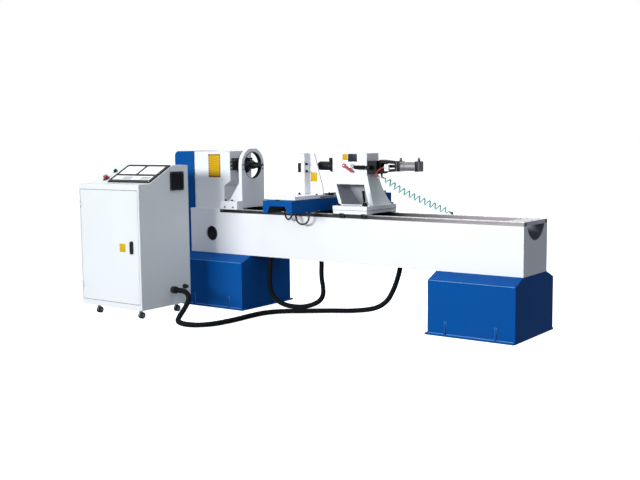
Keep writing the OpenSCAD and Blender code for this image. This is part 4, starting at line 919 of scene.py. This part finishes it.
def hollow(place):
    """The faces within the casting's front hollow, between its leaning legs, which get a grey painted shade.
    """
    x, y, z = (place.axis(name) for name in "XYZ")
    leaned = x + leg_lean * z
    facing = place.node("NewGeometry", out="True Normal").axis("Y")
    return ((tail_front + 0.001 - y).under(0.0) * facing.under(0.3) * (leg_x0 - leaned).under(0.0)
            * leaned.under(leg_x1) * z.under(hollow_top) * (foot_z + 0.001 - z).under(0.0))


def sole_foot_shadow(place):
    """The sole plate's lowest edge, which gets a near-black painted shadow where the foot sits on the ways.
    """
    return place.axis("Z").under(sole_low.z + 0.005)


# The front hollow of the tailstock gets painted shade.
dress(enamel("tailstock_paint", white, 0.36, inside=hollow, grime_painted_shade_and_coat=(0.36, 0.38, 0.42, 1)), "tailstock_body")
dress(enamel("sole_paint", white, 0.36, inside=sole_foot_shadow, grime_painted_shade_and_coat=(0.012, 0.012, 0.014, 1)), "tailstock_sole")
seam = 0.0025
block("foot_seam", (sole_low.x - seam, sole_low.y - seam, sole_high.z - 0.001),
      (sole_high.x + seam, sole_high.y + seam, sole_high.z + seam),
      "tailstock", dull_plastic("foot_grey", (0.20, 0.21, 0.23, 1), 0.5))
clamp_half = 0.022
way_clamps("foot_clamps", [(x - clamp_half, x + clamp_half) for x in (1.268, 1.466)], 0.014,
           way_low.z + 0.001, sole_low.z + 0.010, "tailstock")
cap_screws("foot_screws", product((sole_low.x + 0.040, sole_high.x - 0.025),
                                  (body_low.y + 0.030, body_high.y - 0.020), (foot_z,)),
           (0, 0, 1), 0.014, "tailstock", black_steel)
head_x, wiper_w = body_low.x, 0.062
mesh = bmesh.new()
ring(mesh, (head_x, 0, axis_z), (-1, 0, 0), 0.050, 0.0368, wiper_w)
for length, half, up in ((0.058, 0.052, 0.064), (0.016, 0.058, 0.088)):
    slab(mesh, (head_x - length, -half, axis_z + 0.038), (head_x, half, axis_z + up), 0.003)
piece("quill_wiper", mesh, "tailstock", black_steel)
cap_screws("quill_wiper_screws", round_pattern((head_x - wiper_w, 0, axis_z), (-1, 0, 0), 0.0435, 4, pi / 4),
           (-1, 0, 0), 0.005, "tailstock", bright_steel, 16)
plate_dark = dull_plastic("plate_dark", (0.012, 0.018, 0.028, 1), 0.4)
blank_plate("tail_plate_amber", (1.190, 1.238), (1.238, 1.284), tail_front, "tailstock", amber)
blank_plate("tail_plate_dark", (1.242, 1.226), (1.325, 1.286), tail_front, "tailstock", plate_dark)

# ---- Quill and live centre ----
# The quill is a steel bar, blackened, and rubbed grey along its slide. The live centre sits in
# its end, and the centre's cone is ground.


def quill_surface(place):
    """Blackened bar, rubbed to grey streaks along its slide."""
    streak = place.stretch(8, 260, 260).noise(1.0, 3.0).clamp(0.45, 0.8)
    return {
        "Base Color": (0.5 * streak).mix((0.007, 0.007, 0.009, 1), (0.06, 0.06, 0.07, 1)),
        "Roughness": 0.36 + 0.2 * streak,
        "Normal": streak.bump(0.0001, 0.1, place.soft_edges(0.001)),
    }


dress(material("quill_black", quill_surface, {"Specular IOR Level": 0.2}), "quill")
dress(bright_steel, "live_centre")

# ---- Air cylinder ----
# An open black bracket holds the cylinder behind the head. Its aluminium barrel is drawn
# together between square heads by four tie rods; black push-in fittings stand on the heads.


def barrel_finish(place):
    """Clear-anodised aluminium tube, finely drawn along its length."""
    drawn = place.stretch(6, 300, 300).noise(1.0, 3.0)
    grime_painted_shade_and_coat = place.noise(26.0, 4.0).clamp(0.5, 0.8)
    return {
        "Base Color": (0.55 * grime_painted_shade_and_coat).mix((0.26, 0.26, 0.27, 1), (0.12, 0.12, 0.13, 1)),
        "Roughness": 0.42 + 0.18 * drawn + 0.1 * grime_painted_shade_and_coat,
        "Normal": drawn.bump(0.0001, 0.15, place.soft_edges(0.001)),
    }


dress(black_steel, "cylinder_bracket")
dress(material("barrel_alloy", barrel_finish, {"Metallic": 0.6}), "air_cylinder")
cylinder_low, cylinder_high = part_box("air_cylinder")
head_t, cap_t, head_half = 0.035, 0.034, 0.038 + 0.0012
rod_out = 0.031
mesh = bmesh.new()
for x0, x1 in ((cylinder_low.x, cylinder_low.x + head_t), (cylinder_high.x - cap_t, cylinder_high.x)):
    slab(mesh, (x0 + 0.001, -head_half, axis_z - head_half),
         (x1 - 0.001, head_half, axis_z + head_half), 0.004)
piece("cylinder_heads", mesh, "tailstock", black_steel)
mesh = bmesh.new()
for y, z in product((-rod_out, rod_out), (axis_z - rod_out, axis_z + rod_out)):
    drum(mesh, (cylinder_high.x - 0.001, y, z), (cylinder_high.x + 0.0002, y, z), 0.0045, sides=6)
piece("tie_rod_nuts", mesh, "tailstock", bright_steel)
fitting_z = axis_z + head_half - 0.0002
fitting_h = cylinder_high.z - fitting_z + 0.011
mesh = bmesh.new()
for x in (cylinder_low.x + head_t / 2, cylinder_high.x - cap_t / 2):
    for low, high, radius, sides, edge in ((0, 0.35, 0.0115, 6, 0.0008), (0.35, 0.85, 0.0090, 24, 0.001),
                                           (0.85, 1, 0.0065, 24, 0.0006)):
        drum(mesh, (x, 0, fitting_z + low * fitting_h), (x, 0, fitting_z + high * fitting_h), radius,
             sides=sides, edge=edge)
piece("port_fittings", mesh, "tailstock", black_steel)

# ---- Air valve ----
# The hand valve is bolted to the casting's front with a dusty-red stamped lever. A short red
# tube loops from it to the flow regulator in its pale body on the bracket.


def lever_finish(place):
    """Dusty red enamel, rubbed to steel along its edges."""
    rubbed = (place.edge_mask(0.0015) * place.noise(90.0, 3.0)).clamp(0.2, 0.5)
    return {
        "Base Color": (0.4 * rubbed).mix((0.34, 0.028, 0.028, 1), (0.40, 0.26, 0.26, 1)),
        "Roughness": 0.38 + 0.1 * place.noise(60.0),
        "Normal": place.noise(300.0).bump(0.0001, 0.2, place.soft_edges(0.0015)),
    }


dress(enamel_white, "hand_valve")
dress(material("lever_red", lever_finish), "valve_lever")
valve_low, valve_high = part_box("hand_valve")
cap_screws("valve_screws", [(x, tail_front - 0.020, z) for x, z in product(
    (valve_low.x + 0.010, valve_high.x - 0.010), (valve_high.z - 0.010, valve_low.z + 0.010))],
           (0, -1, 0), 0.005, "tailstock", black_steel, 16)
pivot_x, pivot_z = valve_low.x + 0.018, axis_z + 0.006
mesh = bmesh.new()
drum(mesh, (pivot_x, valve_low.y - 0.003, pivot_z), (pivot_x, valve_low.y + 0.001, pivot_z), 0.0082,
     sides=6, edge=0.0008)
piece("valve_nut", mesh, "tailstock", bright_steel)
pale_plastic = dull_plastic("pale_plastic", (0.80, 0.81, 0.82, 1), 0.35)
regulator_low, regulator_high = Vector((1.557, -0.060, 1.154)), Vector((1.595, -0.039, 1.206))
block("flow_regulator", regulator_low, regulator_high, "tailstock", pale_plastic, 0.003,
      segments=3)
neck_x, neck_y, collar_h, neck_h = 1.576, -0.050, 0.010, 0.016
mesh = bmesh.new()
for z, side in ((regulator_high.z, 1), (regulator_low.z, -1)):
    foot, collar, tip = [(neck_x, neck_y, z + side * up) for up in (0, collar_h, neck_h)]
    drum(mesh, foot, collar, 0.0075, sides=24, edge=0.001)
    drum(mesh, collar, tip, 0.0058, sides=24, edge=0.0008)
slab(mesh, (neck_x - 0.016, -0.041, 1.165), (neck_x + 0.016, -0.0375, 1.195), 0.001)
piece("regulator_collars", mesh, "tailstock", black_steel)


def tube_finish(place):
    """Red polyurethane tube, streaked along its length."""
    streak = place.noise(80.0, 2.0)
    red = (0.62, 0.035, 0.030, 1)
    return {"Base Color": streak.mix(red, toned(red, 0.7)), "Roughness": 0.18 + 0.1 * streak}


red_d = 0.008
red_route = [
    (1.562, -0.062, 1.180), (1.556, -0.074, 1.180), (1.545, -0.088, 1.174), (1.530, -0.095, 1.163),
    (1.516, -0.096, 1.147), (1.509, -0.094, 1.130), (1.511, -0.088, 1.116), (1.519, -0.070, 1.109),
    (1.520, -0.048, 1.110)]
line, length = even_line(red_route, red_d / 2)
red_tube = tube("red_air_tube", line, red_d, material("tube_red", tube_finish, {"Coat Weight": 0.3}))
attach(red_tube, "tailstock")
mesh = bmesh.new()
slab(mesh, (1.554, -0.066, 1.172), (1.570, -0.056, 1.188), 0.0015)
slab(mesh, (1.500, -0.066, 1.100), (1.530, -0.034, 1.118), 0.003)
piece("tube_fittings", mesh, "tailstock", pale_plastic)

# ---- Clamping levers ----
# The quill's lock and the foot's clamp have black phenolic grips on steel bosses. A steel
# collar lies round each, and the lock's screw shows in its boss.
dress(dull_plastic("grip_black", (0.006, 0.006, 0.007, 1), 0.50, 1400.0, 0.08), "quill_lock", "clamp_lever")
lock_low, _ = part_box("quill_lock")
lock_z, boss_x, grip_y = axis_z - 0.006, 1.455, tail_front - 0.038
mesh = bmesh.new()
ring(mesh, (boss_x, lock_low.y + 0.0002, lock_z), (0, -1, 0), 0.0150, 0.006, 0.0008, sides=40)
drum(mesh, (boss_x, lock_low.y + 0.002, lock_z), (boss_x, lock_low.y - 0.0002, lock_z), 0.0055, sides=6)
ring(mesh, (lock_low.x + 0.0885, grip_y, lock_z), (1, 0, 0), 0.0150, 0.0105, 0.0025, sides=40)
piece("lock_fittings", mesh, "quill_lock", black_steel)
clamp_low, clamp_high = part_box("clamp_lever")
mesh = bmesh.new()
ring(mesh, ((clamp_low.x + clamp_high.x) / 2, -0.150, clamp_low.z + 0.026), (0, 0, 1),
     0.0130, 0.0088, 0.0012, sides=40)
piece("clamp_ring", mesh, "clamp_lever", bright_steel)

# ---- Glands ----
# Black nylon glands hold the conduits in the cabinet's side and under the bed, each with a
# knurled nut. The supply gland and the air hose's socket behind the bed are nylon too.
nylon_black = dull_plastic("nylon_black", (0.020, 0.021, 0.023, 1), 0.4)
dress(nylon_black, "hose_glands")
gland_r, ridges = 0.028, 20
gland_nuts = [(route_end, (0, 0, 1), 0.001, 0.015)
              for route_end in (cabinet_route[-1], loop_route[0], loop_route[-1])]
gland_nuts.append((cabinet_route[0], (1, 0, 0), -0.016, -0.0005))
mesh = bmesh.new()
for route_end, out, low, high in gland_nuts:
    for place in round_pattern(route_end, out, gland_r, ridges, pi / 4):
        drum(mesh, place + low * Vector(out), place + high * Vector(out), 0.0016, sides=6)
piece("gland_knurls", mesh, "root", nylon_black)

# ---- Control cabinet ----
# Folded 3 mm sheet with powder coat, off-white. The door hangs on two knuckle hinges, the side
# has a louvred outlet, and the back panel is closed by screws.
powder_white = enamel("powder_white", (0.64, 0.68, 0.70, 1), 0.45, (0.40, 0.42, 0.44, 1), 0.25)
dress(powder_white, "cabinet_shell", "cabinet_door")
black_moulding = dull_plastic("black_moulding", (0.020, 0.021, 0.023, 1), 0.4)
dress(black_moulding, "vent_grille", "control_panel", "door_handle", "selector_switch")
zinc = ground("zinc_plate", (0.52, 0.53, 0.55, 1), 0.34, (60, 60, 60))
dress(zinc, "electrics_panel")
shell_low, shell_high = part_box("cabinet_shell")


def pan_screws(name, feet, out, height, radius, tip, finish, sides=20):
    """A piece of alike low-headed screws that taper to their tips, one on each foot."""
    mesh = bmesh.new()
    for foot in feet:
        drum(mesh, foot, Vector(foot) + height * Vector(out), radius, tip, sides)
    piece(name, mesh, "root", finish)


grille_low, grille_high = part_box("vent_grille")
pan_screws("grille_screws", product((grille_high.x,), (grille_low.y + 0.006, grille_high.y - 0.006),
                                    (grille_low.z + 0.007, grille_high.z - 0.007)),
           (1, 0, 0), 0.0012, 0.0035, 0.0026, bright_steel, 16)
filter_x = grille_low.x - 0.004
block("grille_filter", (filter_x, grille_low.y + 0.006, grille_low.z + 0.008),
      (filter_x + 0.003, grille_high.y - 0.006, grille_high.z - 0.008), "root", wiper_rubber)
pan_screws("shell_screws", product((shell_low.x,), (shell_low.y + 0.060, shell_high.y - 0.030),
                                   (0.16, 0.56, 0.96)),
           (-1, 0, 0), 0.0018, 0.0050, 0.0036, zinc)
panel_y = shell_high.y + 0.0016
block("cabinet_back", (-0.690, shell_high.y - 0.001, 0.14), (-0.038, panel_y, 1.145),
      "root", powder_white, 0.0012)
pan_screws("back_screws", product((-0.675, -0.364, -0.053), (panel_y,), (0.155, 0.64, 1.130)),
           (0, 1, 0), 0.0024, 0.0055, 0.0040, zinc)

# ---- Door furniture ----
# A blank plate sits on the door. The turn handle is moulded in black plastic, and a steel lock
# barrel with a keyhole is set in it.
cab_front = -1.108
blank_plate("door_plate", (-0.248, 0.533), (-0.182, 0.600), cab_front, "door", amber)
handle_low, handle_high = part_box("door_handle")
key_x, key_y, key_z = (handle_low.x + handle_high.x) / 2, handle_low.y, 0.541
mesh = bmesh.new()
drum(mesh, (key_x, key_y + 0.001, key_z), (key_x, key_y - 0.0010, key_z), 0.0068, sides=28, edge=0.0004)
slab(mesh, (key_x - 0.0008, key_y - 0.0014, key_z - 0.0045), (key_x + 0.0008, key_y - 0.0009, key_z + 0.0045))
piece("handle_lock", mesh, "door_handle", black_steel)

# ---- Console ----
# Two glazed displays and a membrane keypad lie in the black frame. The keys are printed as
# plain pads; the stop button and the selector stand at the console's left.
ledge_z = 1.067
slope_y0, slope_y1 = cab_front + 0.116, cab_front + 0.373
slope_len = Vector((slope_y1 - slope_y0, shell_high.z - ledge_z)).length
slope = atan2(shell_high.z - ledge_z, slope_y1 - slope_y0)
console = Matrix.Translation((0, slope_y0, ledge_z)) @ Matrix.Rotation(slope, 4, "X")
console_out = console.to_3x3() @ Vector((0, 0, 1))
panel_x0, panel_x1 = -0.504, -0.024
panel_up0, panel_t, bar = 0.012, 0.012, 0.028
panel_up1 = slope_len - panel_up0


def glass_finish(place):
    """A pale lit display under glass."""
    glow = place.noise(3.0, 2.0)
    return {
        "Base Color": glow.mix((0.84, 0.86, 0.88, 1), (0.88, 0.90, 0.92, 1)),
        "Emission Color": glow.mix((0.92, 0.95, 0.98, 1), (0.97, 0.98, 1.0, 1)),
        "Roughness": 0.12 + 0.04 * glow,
    }


def red_finish(place):
    """Glossy moulded red."""
    dust = place.noise(30.0, 3.0)
    return {"Base Color": (0.3 * dust).mix((0.26, 0.008, 0.012, 1), (0.34, 0.04, 0.04, 1)),
            "Roughness": 0.22 + 0.12 * dust,
            "Normal": place.noise(500.0).bump(0.0001, 0.2, place.soft_edges(0.002))}


dress(material("display_glass", glass_finish, {"Emission Strength": 0.22, "Coat Weight": 0.5}), "display")
dress(material("stop_red", red_finish, {"Coat Weight": 0.3}), "emergency_stop")
key_w, key_h, key_row, columns = 0.020, 0.018, 0.024, 16
keys_x, keys_up = panel_x0 + bar + 0.010, panel_up0 + bar + 0.008
column_pitch = (panel_x1 - bar - 0.010 - keys_x) / columns
film = panel_t - 0.0013
mesh_grey, mesh_dark = bmesh.new(), bmesh.new()
for row, column in product(range(2), range(columns)):
    x, up = keys_x + column_pitch * column, keys_up + key_row * row
    slab(mesh_dark if (column // 4) % 2 else mesh_grey, (x, up, film), (x + key_w, up + key_h, film + 0.0013),
         0.0009, console)
piece("keys_grey", mesh_grey, "root", dull_plastic("key_grey", (0.66, 0.68, 0.70, 1), 0.4))
piece("keys_dark", mesh_dark, "root", dull_plastic("key_dark", (0.20, 0.22, 0.25, 1), 0.4))
pan_screws("panel_screws", [console @ Vector((x, up, panel_t)) for x, up in product(
    (panel_x0 + 0.007, panel_x1 - 0.007), evenly(panel_up0 + 0.007, panel_up1 - 0.007, 3))],
           console_out, 0.0014, 0.0038, 0.003, bright_steel, 16)
button_x, stop_up, selector_up = -0.573, 0.066, 0.181
mesh = bmesh.new()
for up, outer, inner, height in ((stop_up, 0.030, 0.0125, 0.0030), (selector_up, 0.0195, 0.0158, 0.0004)):
    ring(mesh, console @ Vector((button_x, up, 0)), console_out, outer, inner, height, sides=48)
piece("button_rings", mesh, "root", black_moulding)
block("selector_mark", (button_x - 0.0012, selector_up + 0.001, 0.0210),
      (button_x + 0.0012, selector_up + 0.014, 0.0216), "selector_switch", pale_plastic,
      turn=console)

# ---- Casters ----
# Twin-wheel plate casters: zinc-plated steel forks carry pairs of grey rubber wheels with plain
# hubs, and a nut closes each end of the axle.
tread = dull_plastic("caster_tread", (0.040, 0.046, 0.048, 1), 0.55, 600.0)
hub_grey = dull_plastic("hub_grey", (0.15, 0.16, 0.17, 1), 0.45)
for i in range(1, 5):
    dress(zinc, f"caster_fork_{i}")
    dress(tread, f"caster_wheel_{i}")
    fork_low, fork_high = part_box(f"caster_fork_{i}")
    wheel_low, wheel_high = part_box(f"caster_wheel_{i}")
    y, z = (wheel_low.y + wheel_high.y) / 2, (wheel_low.z + wheel_high.z) / 2
    hubs, nuts = bmesh.new(), bmesh.new()
    for wheel_x, fork_x, out in ((wheel_low.x, fork_low.x, -1), (wheel_high.x, fork_high.x, 1)):
        ring(hubs, (wheel_x, y, z), (out, 0, 0), 0.0165, 0.0050, 0.0010, sides=36)
        drum(nuts, (fork_x - out * 0.001, y, z), (fork_x + out * 0.0022, y, z), 0.0048, sides=6)
    piece(f"caster_hub_{i}", hubs, f"wheel_{i}", hub_grey)
    piece(f"caster_nuts_{i}", nuts, f"caster_{i}", zinc)

# ---- Floor, light and sky ----
# A pale studio floor under a sky that is white behind the machine and dark on its right. A wide,
# low light stands in front of the headstock end, with weaker ones overhead and beside the bed.


def floor_finish(place):
    """Pale painted floor that glows a little, so that it meets the sky without a line."""
    cloud = place.noise(0.8, 3.0)
    return {
        "Base Color": cloud.mix((0.90, 0.91, 0.92, 1), (0.93, 0.935, 0.94, 1)),
        "Emission Color": cloud.mix((0.97, 0.985, 1.0, 1), (1.0, 1.0, 1.0, 1)),
        "Roughness": 0.75 + 0.1 * place.noise(2.0),
    }


floor = placed("floor", bpy.data.meshes.new("floor"))
mesh = bmesh.new()
bmesh.ops.create_circle(mesh, cap_ends=True, segments=64, radius=60)
mesh.to_mesh(floor.data)
mesh.free()
floor.data.materials.append(material("floor_paint", floor_finish, {"Emission Strength": 0.85}))
floor.visible_diffuse = floor.visible_glossy = False


def lamp(name, place, target, width, height, power, colour):
    """An oval area light that stands at a place and shines at a target."""
    light = bpy.data.lights.new(name, "AREA")
    light.shape = "ELLIPSE"
    light.size, light.size_y = width, height
    light.energy = power
    light.color = colour
    place, target = Vector(place), Vector(target)
    aim = (target - place).to_track_quat("-Z", "Y").to_matrix().to_4x4()
    placed(name, light).matrix_world = Matrix.Translation(place) @ aim


lamp("key_light", (-0.9, -12.8, 3.5), (0.9, 0, 0.7), 6.8, 2.4, 1680, (1.0, 0.99, 0.97))
lamp("top_light", (1.2, 0.6, 6.0), (1.2, 0, 0), 5.0, 5.0, 200, (0.95, 0.98, 1.0))
lamp("fill_light", (2.55, -2.6, 1.8), (0.4, -0.3, 1.0), 1.0, 1.0, 18, (0.95, 0.97, 1.0))
sky = bpy.data.worlds.new("sky")
bpy.context.scene.world = sky
sky.use_nodes = True
direction = Wire(sky.node_tree).node("TexCoord", out="Generated")
to_the_left = 1 - direction.axis("X").clamp(-0.28, 0.35)
behind = direction.axis("Y").clamp(-0.25, 0.25)
left_shade = behind.mix((0.34, 0.36, 0.41, 1), (1.0, 1.0, 1.0, 1))
shade = to_the_left.mix((0.245, 0.26, 0.29, 1), left_shade)
sky.node_tree.links.new(shade.socket, sky.node_tree.nodes["Background"].inputs["Color"])
bpy.context.scene.view_settings.view_transform = "Standard"
